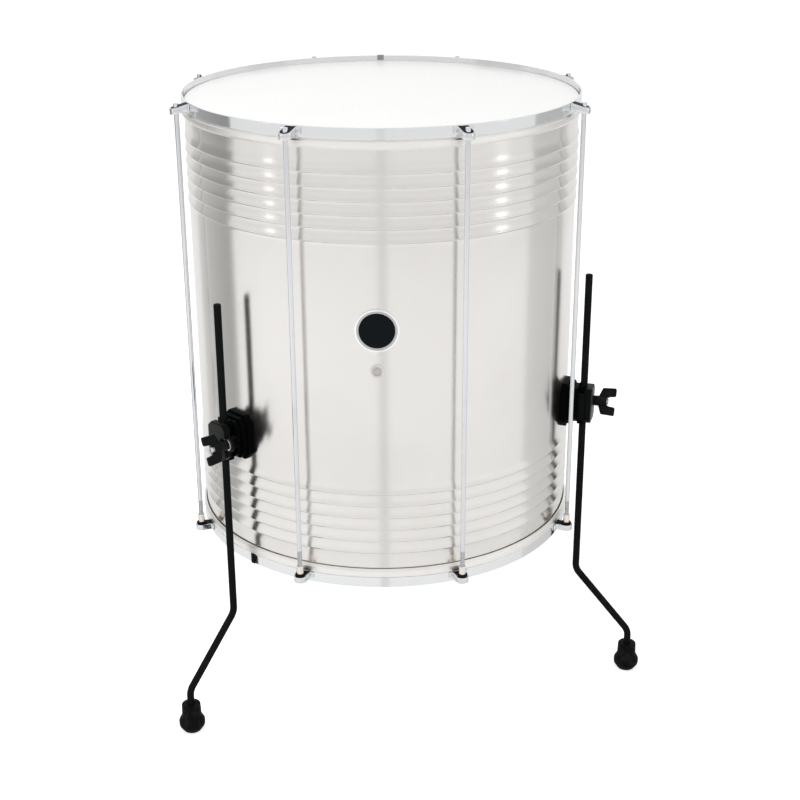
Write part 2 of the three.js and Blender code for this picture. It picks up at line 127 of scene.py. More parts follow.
def mesh_from(name, grids):
    """Joins grids, each a (points, ring) pair, closes open ones with caps and turns all faces outwards."""
    points, faces, start = [], [], 0
    for grid, ring in grids:
        rows, columns = grid.shape[:2]
        points.append(grid.reshape(-1, 3))
        faces += (grid_faces(rows, columns, ring) + start).tolist()
        if not ring:
            last = (rows - 1) * columns
            faces += [list(range(start, start + columns)), list(range(start + last, start + last + columns))]
        start += rows * columns
    mesh = bpy.data.meshes.new(name)
    mesh.from_pydata(((np.concatenate(points) + drum_axis) / METRE).tolist(), [], faces)
    work = bmesh.new()
    work.from_mesh(mesh)
    bmesh.ops.remove_doubles(work, verts=work.verts, dist=MERGE)
    bmesh.ops.recalc_face_normals(work, faces=work.faces)
    work.to_mesh(mesh)
    work.free()
    return mesh


def piece(name, grids, material, body, stands_for=(), sharp=32):
    """A finished piece: smooth shading with sharp edges past an angle, a material and a body."""
    mesh = mesh_from(name, grids)
    mesh.shade_smooth()
    mesh.set_sharp_from_angle(angle=np.radians(sharp))
    mesh.materials.append(material)
    made = bpy.data.objects.new(name, mesh)
    bpy.context.scene.collection.objects.link(made)
    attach(made, body)
    if stands_for:
        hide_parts(*stands_for)
    return made


print("a ring of 3 rows and 4 columns has", len(grid_faces(3, 4, True)), "faces, an open one",
      len(grid_faces(3, 4, False)))

# %% [markdown]
# ## Turning, pressing and bending
#
# Three ways to carry a row of points are enough for a drum. A lathe turns a profile round an axis. A
# press gives an outline thickness and rolls its edges over. A bender pushes a round section along a
# path. Real metal has no knife edges, so corners are rounded before anything is carried.

# %% Corners and outlines
def unit(vectors):
    """Each vector divided by its length."""
    return vectors / np.linalg.norm(vectors, axis=-1, keepdims=True)


def rounded(corners, radius, steps=5):
    """Each corner becomes an arc whose ends lie radius / tan(half the corner) along its two sides."""
    corners = np.asarray(corners, float)
    back = unit(np.roll(corners, 1, 0) - corners)
    ahead = unit(np.roll(corners, -1, 0) - corners)
    half = np.arccos(np.clip((back * ahead).sum(-1), -1, 1)) / 2
    radius = np.broadcast_to(np.asarray(radius, float), half.shape)
    centre = corners + unit(back + ahead) * (radius / np.sin(half))[:, None]
    first = corners + back * (radius / np.tan(half))[:, None] - centre
    last = corners + ahead * (radius / np.tan(half))[:, None] - centre
    turn = (np.pi - 2 * half)[:, None, None]
    share = np.linspace(0, 1, steps)[None, :, None]
    arc = first[:, None] * np.sin((1 - share) * turn) + last[:, None] * np.sin(share * turn)
    return (centre[:, None] + arc / np.sin(turn)).reshape(-1, 2)


def inset(outline, distance):
    """Moves an outline's sides inwards: a corner goes by distance * (n1 + n2) / (1 + n1 . n2)."""
    side = unit(np.roll(outline, -1, 0) - outline)
    normal = np.stack((-side[:, 1], side[:, 0]), axis=-1)
    before = np.roll(normal, 1, 0)
    return outline + distance * (normal + before) / (1 + (normal * before).sum(-1, keepdims=True))


def octagon(half, rise, cut, corner=1.5):
    """A rectangle with cut corners, each of the eight corners rounded."""
    points = [(cut - half, -rise), (half - cut, -rise), (half, cut - rise), (half, rise - cut),
              (half - cut, rise), (cut - half, rise), (-half, rise - cut), (-half, cut - rise)]
    return rounded(points, corner, 4)


print("a rounded outline of eight corners has", len(octagon(25, 30, 10)), "points")

# %% Turned and pressed surfaces
def pressed(outline, low, high, edge, steps=4):
    """A plate with rolled edges: inset edge * (1 - sin t), at edge * (1 - cos t) from each face."""
    t = np.linspace(0, np.pi / 2, steps)
    insets = edge * (1 - np.sin(t))
    depths = edge * (1 - np.cos(t))
    levels = np.concatenate((low + depths, high - depths[::-1]))
    return np.stack([np.column_stack((inset(outline, i), np.full(len(outline), level)))
                     for i, level in zip(np.concatenate((insets, insets[::-1])), levels)])


def turn_steps(sides):
    """One row of angles, evenly round a full turn."""
    return np.linspace(0, 2 * np.pi, sides, endpoint=False)[None, :]


def turned(profile, sides=288):
    """A profile of (radius, height) turned about the drum's axis: (r sin a, -r cos a, z)."""
    radius, height = np.asarray(profile, float).T[:, :, None]
    a = turn_steps(sides)
    return np.stack(np.broadcast_arrays(radius * np.sin(a), -radius * np.cos(a), height), axis=-1)


def upright(azimuth, distance, profile, sides=24):
    """A profile of (radius, height) turned about an upright axis, at a distance out from the drum's axis."""
    radius, height = np.asarray(profile, float).T[:, :, None]
    a = turn_steps(sides)
    return at(azimuth, distance + radius * np.cos(a), radius * np.sin(a), height)


def outward(azimuth, side, up, profile, sides=32):
    """A profile of (radius, distance out) turned about an axis that runs out from the drum."""
    radius, out = np.asarray(profile, float).T[:, :, None]
    a = turn_steps(sides)
    return at(azimuth, out, side + radius * np.cos(a), up + radius * np.sin(a))


def facing(azimuth, plate):
    """A pressed plate whose outline is (side, up) and whose level is the distance out."""
    return at(azimuth, plate[..., 2], plate[..., 0], plate[..., 1])


def standing(azimuth, plate):
    """A pressed plate whose outline is (out, side) and whose level is the height."""
    return at(azimuth, plate[..., 0], plate[..., 1], plate[..., 2])


print("a plate pressed from it has", pressed(octagon(25, 30, 10), 0, 7, 1).shape[:2], "rows and points")

# %% [markdown]
# ## Finishes
#
# Every finish here starts from the same small effects, so each is built once as a node group. Grain is
# noise stretched along one direction, as a brush or a roller leaves it. Scuffs are a few soft patches
# where hands and cases have rubbed. The third effect finds the faces that are turned towards a given
# direction, so that light and shade can be painted on them: a painted highlight on the top, a painted
# sheen on the outside and painted shade on the inside of a piece. A group only puts out a mask and a
# height. The shader stays in each material, where its own fixed values can be read.

# %% Node helpers
def node(tree, kind, values=None, **settings):
    """Adds a node, sets its options, and sets or links its inputs."""
    made = tree.nodes.new(kind)
    for key, value in settings.items():
        setattr(made, key, value)
    for key, value in (values or {}).items():
        if isinstance(value, bpy.types.NodeSocket):
            tree.links.new(value, made.inputs[key])
        else:
            made.inputs[key].default_value = value
    return made


def effect(name, inputs, outputs):
    """An empty node group with named sockets, and its two end nodes."""
    group = bpy.data.node_groups.new(name, "ShaderNodeTree")
    for label, kind, value in inputs:
        socket = group.interface.new_socket(name=label, in_out="INPUT", socket_type=kind)
        socket.default_value = value
    for label in outputs:
        group.interface.new_socket(name=label, in_out="OUTPUT", socket_type="NodeSocketFloat")
    return group, group.nodes.new("NodeGroupInput"), group.nodes.new("NodeGroupOutput")


def remap(tree, value, low, high, start=0.0, end=1.0):
    """start + (end - start) * (value - low) / (high - low), kept between start and end."""
    return node(tree, "ShaderNodeMapRange", {"Value": value, "From Min": low, "From Max": high,
                                             "To Min": start, "To Max": end}).outputs["Result"]


print("helpers for nodes, groups and remapping")

# %% Grain
grain, grain_in, grain_out = effect(
    "metal_grain",
    [("Vector", "NodeSocketVector", (0, 0, 0)), ("Along", "NodeSocketVector", (1, 1, 1)),
     ("Scale", "NodeSocketFloat", 400.0)],
    ["Mask", "Height"])
stretched = node(grain, "ShaderNodeVectorMath", {0: grain_in.outputs["Vector"], 1: grain_in.outputs["Along"]},
                 operation="MULTIPLY")
fine = node(grain, "ShaderNodeTexNoise", {"Vector": stretched.outputs[0], "Scale": grain_in.outputs["Scale"],
                                          "Detail": 3.0, "Roughness": 0.6})
grain.links.new(remap(grain, fine.outputs["Fac"], 0.3, 0.7), grain_out.inputs["Mask"])
grain.links.new(fine.outputs["Fac"], grain_out.inputs["Height"])
print("effect:", grain.name)

# %% Scuffs
scuffs, scuffs_in, scuffs_out = effect(
    "handling_scuffs",
    [("Vector", "NodeSocketVector", (0, 0, 0)), ("Scale", "NodeSocketFloat", 20.0),
     ("Threshold", "NodeSocketFloat", 0.56)],
    ["Mask"])
cloud = node(scuffs, "ShaderNodeTexNoise", {"Vector": scuffs_in.outputs["Vector"],
                                            "Scale": scuffs_in.outputs["Scale"], "Detail": 6.0,
                                            "Roughness": 0.65, "Distortion": 0.4})
above = node(scuffs, "ShaderNodeMath", {0: cloud.outputs["Fac"], 1: scuffs_in.outputs["Threshold"]},
             operation="SUBTRACT")
scuffs.links.new(remap(scuffs, above.outputs[0], 0.0, 0.14), scuffs_out.inputs["Mask"])
print("effect:", scuffs.name)

# %% Faces turned towards a direction
AWAY, TOWARDS = 0.82, 0.97
facing_faces, facing_in, facing_out = effect(
    "faces_towards",
    [("Normal", "NodeSocketVector", (0, 0, 1)), ("Direction", "NodeSocketVector", (0, 0, 1))],
    ["Mask"])
straight = node(facing_faces, "ShaderNodeVectorMath", {0: facing_in.outputs["Direction"]},
                operation="NORMALIZE")
cosine = node(facing_faces, "ShaderNodeVectorMath", {0: facing_in.outputs["Normal"], 1: straight.outputs[0]},
              operation="DOT_PRODUCT")
facing_faces.links.new(remap(facing_faces, cosine.outputs["Value"], AWAY, TOWARDS), facing_out.inputs["Mask"])
print("effect:", facing_faces.name, "from", np.degrees(np.arccos([TOWARDS, AWAY])).round(), "degrees off")

# %% [markdown]
# ## Materials from the effects
#
# A material places the effects with its own scale, and lets the masks move its colour and its
# roughness a little. Up to three more colours can be given, and they paint light and shade: a painted
# highlight on level faces, a painted sheen on faces turned out from the drum's axis and painted shade on
# faces turned in to it. The bump is far finer than anything that is modelled.

# %% A finish from grain and scuffs
def mixed(tree, factor, first, second):
    """A colour between two, by a factor. Each is a socket or a plain colour."""
    blend = node(tree, "ShaderNodeMix", data_type="RGBA")
    tree.links.new(factor, blend.inputs[0])
    for socket, value in zip((blend.inputs[6], blend.inputs[7]), (first, second)):
        if isinstance(value, bpy.types.NodeSocket):
            tree.links.new(value, socket)
        else:
            socket.default_value = (*value, 1)
    return blend.outputs[2]


def painted_facing_light(tree, shade, places, top_highlight, outward_sheen, inside):
    """Paints light and shade by facing: a highlight on faces turned up, a sheen on faces turned out from the
    drum's axis, shade on faces turned in.
    """
    centred, normal = places
    for tint, across, height in ((top_highlight, 0, 1), (outward_sheen, 1, 0), (inside, -1, 0)):
        if tint:
            scaled = {0: centred, 1: (across, across, 0), 2: (0, 0, height)}
            direction = node(tree, "ShaderNodeVectorMath", scaled, operation="MULTIPLY_ADD")
            mask = node(tree, "ShaderNodeGroup", {"Normal": normal, "Direction": direction.outputs[0]},
                        node_tree=facing_faces)
            shade = mixed(tree, mask.outputs["Mask"], shade, tint)
    return shade


def finish(name, color, worn, roughness, *, metallic=0.0, along=(1, 1, 1), scale=400.0, scuff=20.0,
           threshold=0.56, bump=0.1, depth=0.00002, top_highlight=None, outward_sheen=None, inside=None, fixed=()):
    """Scuffs mix color into worn, grain moves the roughness, and faces turned a way can get painted light or
    shade.
    """
    material = bpy.data.materials.new(name)
    material.use_nodes = True
    tree = material.node_tree
    shader = tree.nodes["Principled BSDF"]
    places = node(tree, "ShaderNodeTexCoord").outputs
    centred = node(tree, "ShaderNodeMapping", {"Vector": places["Object"],
                                               "Location": tuple(-drum_axis / METRE)}).outputs[0]
    fine_grain = node(tree, "ShaderNodeGroup", node_tree=grain)
    rub = node(tree, "ShaderNodeGroup", node_tree=scuffs)
    for group, values in ((fine_grain, {"Along": along, "Scale": scale}),
                          (rub, {"Scale": scuff, "Threshold": threshold})):
        tree.links.new(centred, group.inputs["Vector"])
        for key, value in values.items():
            group.inputs[key].default_value = value
    shade = mixed(tree, rub.outputs["Mask"], color, worn)
    shade = painted_facing_light(tree, shade, (centred, places["Normal"]), top_highlight, outward_sheen, inside)
    tree.links.new(shade, shader.inputs["Base Color"])
    tree.links.new(remap(tree, fine_grain.outputs["Mask"], 0, 1, *roughness), shader.inputs["Roughness"])
    lift = node(tree, "ShaderNodeBump", {"Height": fine_grain.outputs["Height"], "Strength": bump,
                                         "Distance": depth})
    tree.links.new(lift.outputs["Normal"], shader.inputs["Normal"])
    shader.inputs["Metallic"].default_value = metallic
    for key, value in dict(fixed).items():
        shader.inputs[key].default_value = value
    return material


print("a finish can use", [group.name for group in bpy.data.node_groups])

# %% [markdown]
# ## The finishes of the drum
#
# The shell is bare aluminium, brushed round the drum by the rollers. That is why its reflections are
# drawn out into soft upright bands. The hoops' inner faces get a darker colour, a painted shade for the
# dimmer room that they mirror. Lugs and rods are chromed steel, the nuts are nickel, and the flesh hoops
# are pale bare metal. Each metal is a colour and a roughness: a mirror has no more than that.

# %% Metals
satin_aluminium = finish("satin_aluminium", (0.845, 0.825, 0.795), (0.815, 0.795, 0.765), (0.19, 0.23),
                         metallic=1.0, along=(0.02, 0.02, 1.0), scale=900.0, scuff=5.0, threshold=0.5,
                         bump=0.012, fixed={"Anisotropic": 0.6, "Anisotropic Rotation": 0.25})
bright_chrome = finish("bright_chrome", (0.755, 0.77, 0.79), (0.7, 0.715, 0.735), (0.08, 0.15), metallic=1.0,
                       along=(0.1, 0.1, 1.0), scale=900.0, scuff=30.0, bump=0.04)
# The inside colour is painted shade on the hoops' inner faces, where they mirror the dimmer room.
hoop_chrome = finish("hoop_chrome", (0.87, 0.885, 0.89), (0.83, 0.845, 0.85), (0.08, 0.14), metallic=1.0,
                     along=(0.1, 0.1, 1.0), scale=900.0, scuff=12.0, bump=0.03, inside=(0.745, 0.75, 0.76))
threaded_steel = finish("threaded_steel", (0.6, 0.615, 0.63), (0.52, 0.53, 0.54), (0.14, 0.26), metallic=1.0,
                        scale=1500.0, scuff=60.0, bump=0.08)
warm_nickel = finish("warm_nickel", (0.86, 0.79, 0.73), (0.79, 0.71, 0.65), (0.2, 0.32), metallic=1.0,
                     scale=900.0, scuff=60.0, bump=0.05)
pale_ring = finish("pale_ring", (0.95, 0.93, 0.9), (0.91, 0.885, 0.855), (0.36, 0.46), metallic=1.0,
                   along=(0.1, 0.1, 1.0), scale=500.0, scuff=14.0, bump=0.06)
eyelet_metal = finish("eyelet_metal", (0.76, 0.74, 0.72), (0.62, 0.6, 0.58), (0.2, 0.34), metallic=1.0,
                      scale=900.0, scuff=80.0)
vent_stop = finish("vent_stop", (0.6, 0.58, 0.56), (0.54, 0.52, 0.5), (0.3, 0.45), metallic=1.0,
                   scale=1200.0, scuff=120.0, bump=0.2)
badge_bright = finish("badge_bright", (0.985, 0.985, 0.98), (0.95, 0.95, 0.945), (0.1, 0.16), metallic=1.0,
                      scale=900.0, scuff=60.0, bump=0.02)
badge_grey = finish("badge_grey", (0.54, 0.54, 0.55), (0.5, 0.5, 0.51), (0.16, 0.24), metallic=1.0,
                    scale=900.0, scuff=60.0, bump=0.02)
print(len(bpy.data.materials), "materials so far, with those of the solids")

# %% [markdown]
# ## Film, coats, rubber and plastic
#
# The head is white polyester film. The legs are powder coated, which leaves a faint orange peel. The
# castings are blacker still, with a lighter painted highlight on their level faces, and the clamp plates
# also have a paler painted sheen on the faces turned out from the drum. In this flat white light a coat
# that mirrors its usual 4% turns grey. So the black finishes have a lower index of refraction, which
# keeps them as deep as they look on the real drum.

# %% Film, coats, rubber and plastic
DULL = {"IOR": 1.15}
DEEP = {"IOR": 1.06}
white_film = finish("white_film", (0.975, 0.975, 0.965), (0.965, 0.965, 0.95), (0.18, 0.26), scale=260.0,
                    scuff=6.0, threshold=0.5, bump=0.06, depth=0.00004)
powder_coat = finish("powder_coat", (0.0115, 0.0125, 0.0125), (0.017, 0.018, 0.018), (0.28, 0.4), scale=700.0,
                     scuff=26.0, bump=0.2, depth=0.00003, fixed=DEEP)
# The lighter colour for level faces is a painted highlight, where the lamp above would glint on the castings.
cast_coat = finish("cast_coat", (0.002, 0.0024, 0.0024), (0.005, 0.0054, 0.0054), (0.26, 0.38), scale=500.0,
                   scuff=40.0, bump=0.2, depth=0.00004, top_highlight=(0.01, 0.0115, 0.0115), fixed=DEEP)
# The paler colour for faces turned outwards is a painted sheen, where the plate's outer faces mirror the
# bright room.
plate_coat = finish("plate_coat", (0.002, 0.0024, 0.0024), (0.005, 0.0054, 0.0054), (0.26, 0.38), scale=500.0,
                    scuff=40.0, bump=0.2, depth=0.00004, top_highlight=(0.01, 0.0115, 0.0115),
                    outward_sheen=(0.038, 0.041, 0.04), fixed=DULL)
wing_coat = finish("wing_coat", (0.009, 0.0098, 0.0098), (0.02, 0.021, 0.021), (0.26, 0.38), scale=500.0,
                   scuff=60.0, bump=0.2, depth=0.00004, fixed=DULL)
foot_rubber = finish("foot_rubber", (0.0035, 0.0042, 0.0042), (0.014, 0.0135, 0.013), (0.45, 0.65),
                     scale=350.0, scuff=70.0, threshold=0.5, bump=0.3, depth=0.00006, fixed=DULL)
# This black is the bottom clip's own colour; on the lugs it is also painted shade in the loops' dark hollows.
black_plastic_and_shade = finish("black_plastic_and_shade", (0.006, 0.006, 0.0065), (0.014, 0.014, 0.014), (0.35, 0.5), scale=900.0,
                      scuff=90.0, fixed=DULL)
clip_faded = finish("clip_faded", (0.25, 0.25, 0.26), (0.3, 0.3, 0.3), (0.35, 0.5), scale=900.0, scuff=90.0)
badge_enamel = finish("badge_enamel", (0.007, 0.0095, 0.0115), (0.01, 0.012, 0.014), (0.2, 0.3), scale=600.0,
                      scuff=60.0, bump=0.03, fixed=DULL)
print(len(bpy.data.materials), "materials in all")

# %% [markdown]
# ## The shell
#
# The shell is one sheet, 1.2 mm thick, rolled into a tube and welded. Six beads are rolled into it near
# each end, which keep it round. A bead isn't an even arch: above its crest a long flank falls away, and
# below it a short shoulder closes it, so each bead catches the light as one bright line. A bump texture
# could draw the lines but not the bent reflections between them. So the wall is drawn in section, as a
# radius for each height, and a lathe turns it in one go.

# %% Beads
SHELL_RADIUS, WALL, LIP = 254.0, 1.2, 4.0
BEADS, BEAD_PITCH, BEAD_RISE, BEAD_FLANK, BEAD_SHOULDER = 6, 16.4, 1.7, 13.0, 2.2
LOW_BEADS_START, HIGH_BEADS_START = 40.4, 127.0
bead_crests = np.concatenate([first + BEAD_PITCH * np.arange(BEADS) for first in
                              (shell_bottom + LOW_BEADS_START, shell_top - HIGH_BEADS_START)])


def wall_radius(height):
    """Above a crest the rise falls as (1 - share) ** 2 of the flank, below it as (1 + cos(pi share)) / 2."""
    above = np.clip((height[:, None] - bead_crests) / BEAD_FLANK, 0, 1)
    below = np.clip((bead_crests - height[:, None]) / BEAD_SHOULDER, 0, 1)
    shape = np.where(height[:, None] >= bead_crests, (1 - above) ** 2, (1 + np.cos(np.pi * below)) / 2)
    return SHELL_RADIUS + BEAD_RISE * shape.max(-1)


print("bead crests at", bead_crests.round(1))

# %% Shell
SHOULDER_ROWS, FLANK_ROWS, PLAIN_ROWS = 8, 12, 40
LIP_FOLD, LIP_EDGES, INNER_END = 3, [0.9, 0.3, 0.3, 0.3], 8
bead_steps = (bead_crests[:, None] + np.concatenate((BEAD_SHOULDER * np.linspace(-1, 0, SHOULDER_ROWS),
                                                     BEAD_FLANK * np.linspace(0.05, 1, FLANK_ROWS)))).ravel()
plain_steps = np.linspace(shell_bottom + 1, shell_top - 1, PLAIN_ROWS)
heights = np.unique(np.concatenate((bead_steps, plain_steps)).round(3))
outer = np.column_stack((wall_radius(heights), heights))
lip_top = rounded([(SHELL_RADIUS, shell_top), (SHELL_RADIUS - LIP, shell_top),
                   (SHELL_RADIUS - LIP, shell_top - LIP_FOLD), (SHELL_RADIUS, shell_top - LIP_FOLD)],
                  LIP_EDGES)[:15]
lip_low = lip_top[::-1] * (1, -1) + (0, shell_top + shell_bottom)
inner = (outer - (WALL, 0))[(heights > shell_bottom + INNER_END) & (heights < shell_top - INNER_END)][::-1]
shell_wall = piece("shell_wall", [(turned(np.vstack((outer, lip_top, inner, lip_low))), True)],
                   satin_aluminium, "drum", ["shell"])
print("shell:", len(shell_wall.data.vertices), "points")

# %% [markdown]
# ## The vent hole
#
# Air has to leave the drum when a head is struck, so a hole is punched through the wall. A lathe can't
# turn a hole in the side, and a grid with a hole in it is hard work. A Boolean cut suits it better. Its
# result is stored as the mesh, and then the modifier and the cutter are taken away.

# %% Vent hole
vent_azimuth = middle_of("vent_eyelet")[0]
vent_height = box_of("vent_eyelet").mean(0)[2]
VENT_BORE, VENT_TUBE, VENT_FLANGE = 6.0, 7.0, 9.0
CUT_ROOM, CUT_FROM, CUT_TO = 0.1, 245, 260
cut_profile = [(VENT_TUBE + CUT_ROOM, CUT_FROM), (VENT_TUBE + CUT_ROOM, CUT_TO)]
cutter = bpy.data.objects.new("vent_cutter", mesh_from("vent_cutter", [
    (outward(vent_azimuth, 0, vent_height, cut_profile), False)]))
bpy.context.scene.collection.objects.link(cutter)
hole = shell_wall.modifiers.new("vent_hole", "BOOLEAN")
hole.operation, hole.solver, hole.object = "DIFFERENCE", "EXACT", cutter
bpy.context.view_layer.update()
drilled = bpy.data.meshes.new_from_object(shell_wall.evaluated_get(bpy.context.evaluated_depsgraph_get()))
shell_wall.modifiers.remove(hole)
shell_wall.data = drilled
bpy.data.objects.remove(cutter)
print("drilled shell:", len(drilled.vertices), "points at azimuth", round(float(vent_azimuth), 2))

# %% [markdown]
# ## The heads
#
# A head is a white film, crimped at its edge into a pale metal ring, the flesh hoop. The film runs over
# the shell's edge and down into the ring. Under tension it is flat, and it only curves over the edge.
# Cloth simulation isn't needed for it: a stretched film has no folds to find.
#
# Both ends of the drum are the same turned over. So heights are counted outwards from the shell's edge,
# and one function turns them into heights above the floor.

# %% The film's section
FILM, COLLAR, FIT, FILM_BEND = 0.5, 7.0, 0.3, 3
collar_radius = SHELL_RADIUS + FIT
ring_face = FIT + FILM - COLLAR
ends = {"top": (shell_top, 1, "hoop_set"), "bottom": (shell_bottom, -1, "drum")}


def from_end(profile, end):
    """Heights counted outwards from the shell's top or bottom edge become heights above the floor."""
    edge, sign, _ = ends[end]
    return np.asarray(profile, float) * (1, sign) + (0, edge)


film_arc = np.linspace(0, np.pi / 2, 9)
film_top = [(radius, FIT + FILM) for radius in (40, 120, 200, 240)]
film_top += [(collar_radius + FILM - FILM_BEND * (1 - np.sin(t)), FIT + FILM - FILM_BEND * (1 - np.cos(t)))
             for t in film_arc]
film_profile = film_top + [(collar_radius + FILM, ring_face - 1), (collar_radius, ring_face - 1)]
film_profile += [(r - FILM, h - FILM) for r, h in film_top[::-1]]
print("film:", len(film_profile), "points, out along its top and back below")

# %% [markdown]
# ## The flesh hoops
#
# The ring that grips the film is a bent metal strip. Its top has a raised seat that the chromed hoop
# presses on. Outside the seat the top lies a little lower, which draws a dark line under the chromed
# hoop, and its bevelled edge catches a bright one. Below, the strip slopes in to the shell. The top ring
# shows this step more than the bottom one, so the bevel and the step are given for each end.

# %% Heads
RING_WIDTH, RING_HEIGHT, RING_SLOPE, RING_SEAT = 3.9, 7.8, 3.4, 1.0
LIP_INNER, LIP_OUTER = 0.9, 1.9


def ring_profile(bevel, step):
    """A strip with a raised seat; outside the seat its top lies a step lower, and its corner is bevelled."""
    low, seat = ring_face - RING_HEIGHT, collar_radius + FILM + RING_SEAT
    rim = collar_radius + RING_WIDTH
    return rounded([(collar_radius + FILM + 0.05, ring_face), (collar_radius + LIP_INNER, low - RING_SLOPE),
                    (collar_radius + LIP_OUTER, low - RING_SLOPE), (rim, low),
                    (rim, ring_face - step - bevel), (rim - bevel, ring_face - step),
                    (seat, ring_face - step), (seat, ring_face)],
                   [0.2, 0.2, 0.3, 1.0, bevel * 0.3, bevel * 0.2, 0.05, 0.05])


ring_edges = {"top": (1.6, 1.1), "bottom": (0.6, 0.15)}  # bevel and step
for end in ends:
    film = turned(from_end(film_profile, end))
    ring = turned(from_end(ring_profile(*ring_edges[end]), end))
    piece(f"{end}_film", [(film, False)], white_film, "drum", [f"{end}_head"])
    piece(f"{end}_flesh_ring", [(ring, True)], pale_ring, "drum")
print("heads:", film.shape[:2], "rows and points in a film,", ring.shape[:2], "in a ring")

# %% [markdown]
# ## The hoops
#
# Each hoop is a flat chromed bar bent into a ring, with its edges rolled smooth. Smooth shading blends
# the normals of neighbouring faces, so a flat face next to a rolled edge would mirror the room as a
# barrel does. One more point close to each edge holds the flat faces flat. Splitting the edges would do
# it too, but the rolled edge would lose its soft line.

# %% The hoops' section
BAND_INNER = collar_radius + FILM + FIT
BAND, BAND_HEIGHT = 2.4, 14.1
band_low = ring_face + FIT
band_high = band_low + BAND_HEIGHT
band_outer = BAND_INNER + BAND
BAND_EDGE = 0.95


def held(corners, radius, steps, hold=0.15):
    """Rounded corners, and a point held a little way along each side so that flat faces shade flat."""
    arcs = rounded(corners, radius, steps).reshape(-1, steps, 2)
    first = arcs[:, 0] + hold * unit(np.roll(arcs[:, -1], 1, 0) - arcs[:, 0])
    last = arcs[:, -1] + hold * unit(np.roll(arcs[:, 0], -1, 0) - arcs[:, -1])
    return np.concatenate((first[:, None], arcs, last[:, None]), axis=1).reshape(-1, 2)


band_profile = held([(BAND_INNER, band_low), (band_outer, band_low), (band_outer, band_high),
                     (BAND_INNER, band_high)], BAND_EDGE, 7)
print("hoop:", len(band_profile), "points round the bar,", round(float(2 * band_outer), 1), "across")

# %% [markdown]
# ## The hoops' clips
#
# A saddle of sheet plastic sits over the joint where a hoop's ends meet. The top one has faded to grey,
# and the bottom one is black and narrower. Its section is one outline round the bar, so a press gives it
# its width.

# %% Hoops and clips
CLIP_SHEET, CLIP_LOOSE, CLIP_END, CLIP_EDGE = 0.6, 0.1, 1.7, 0.3
clips = {"top": (9.4, 0.0, clip_faded), "bottom": (6.2, 1.65, black_plastic_and_shade)}  # width, turn from its solid
clip_out, clip_in, clip_high = band_outer + CLIP_LOOSE, BAND_INNER - CLIP_LOOSE, band_high + CLIP_LOOSE
clip_outline = rounded([
    (clip_out, band_low), (clip_out + CLIP_SHEET, band_low), (clip_out + CLIP_SHEET, clip_high + CLIP_SHEET),
    (clip_in - CLIP_SHEET, clip_high + CLIP_SHEET), (clip_in - CLIP_SHEET, CLIP_END), (clip_in, CLIP_END),
    (clip_in, clip_high), (clip_out, clip_high)], [0.28, 0.28, 0.85, 0.85, 0.28, 0.28, 0.2, 0.2], 4)
for end, (edge, sign, body) in ends.items():
    piece(f"{end}_band", [(turned(from_end(band_profile, end)), True)], hoop_chrome, body,
          [f"{end}_hoop"])
    width, turn, plastic = clips[end]
    clip_azimuth = middle_of(f"{end}_hoop_clip")[0] + turn
    saddle = pressed(clip_outline, -width / 2, width / 2, CLIP_EDGE)
    out, up = saddle[..., 0], saddle[..., 1] * sign + edge
    piece(f"{end}_joint_clip", [(at(clip_azimuth, out, saddle[..., 2], up), False)], plastic,
          body, [f"{end}_hoop_clip"])
    print(end, "clip:", width, "wide at", round(float(clip_azimuth), 2))

# %% [markdown]
# ## The lugs
#
# A lug is a steel strap bent into a loop round the rod, with a tab on each side riveted to the hoop. From
# above it looks like a horseshoe. On a top lug the strap's arms slant up from the loop to the hoop. A
# shelf inside the loop takes the pull of the rod. A black fill in the room round it, and a black ring
# round a bottom lug's nut, are painted shade for the dark hollow of the loop. The strap is pressed from
# one outline, and its points are then lifted towards the hoop. The rivets are turned domes, and shelf
# and black fill are plates between a round hole and the loop.

# %% The strap's outline
ROD_RADIUS, LOOP, LUG_SHEET, LUG_TAB, LUG_LAP = 3.0, 6.3, 1.8, 4.4, 0.1
lug_back = band_outer - LUG_LAP


def lug_outline():
    """Out one side of the strap and back along the other; both loops are half circles round the rod."""
    outer_loop = LOOP + LUG_SHEET
    t = np.linspace(-np.pi / 2, np.pi / 2, 25)
    outside = np.column_stack((rod_circle + outer_loop * np.cos(t), outer_loop * np.sin(t)))
    inside = np.column_stack((rod_circle + LOOP * np.cos(t), LOOP * np.sin(t)))[::-1]
    face, tab = lug_back + LUG_SHEET, outer_loop + LUG_TAB
    near = rounded([(lug_back, -LOOP), (lug_back, -tab), (face, -tab), (face, -outer_loop),
                    (face + 9, -outer_loop)], [0.6, 0.4, 0.7, 1.2, 0.1], 4)[:16]
    far = (near * (1, -1))[::-1]
    return np.vstack((near, outside, far, inside))


strap_outline = lug_outline()
print("strap:", len(strap_outline), "points round its outline")

# %% Shelf, rivet and slant
SHELF, SHELF_SIDES, SHELF_LAP, TINY = 2.0, 48, 0.2, 1e-6
RIVET, RIVET_RISE, RIVET_SUNK = 2.2, 1.4, 0.4


def shelf(hole, low, high, back):
    """Between a round hole and the loop: a half circle outside, straight sides and a straight back inside."""
    t = turn_steps(SHELF_SIDES)[0]
    rim = LOOP + SHELF_LAP
    reach = np.where(np.cos(t) > 0, rim, np.minimum(rim / np.maximum(np.abs(np.sin(t)), TINY),
                                                    back / np.maximum(-np.cos(t), TINY)))
    radii = [(hole, low), (hole, high), (reach, high), (reach, low)]
    return np.stack([np.column_stack((rod_circle + r * np.cos(t), r * np.sin(t), np.full(SHELF_SIDES, level)))
                     for r, level in radii])


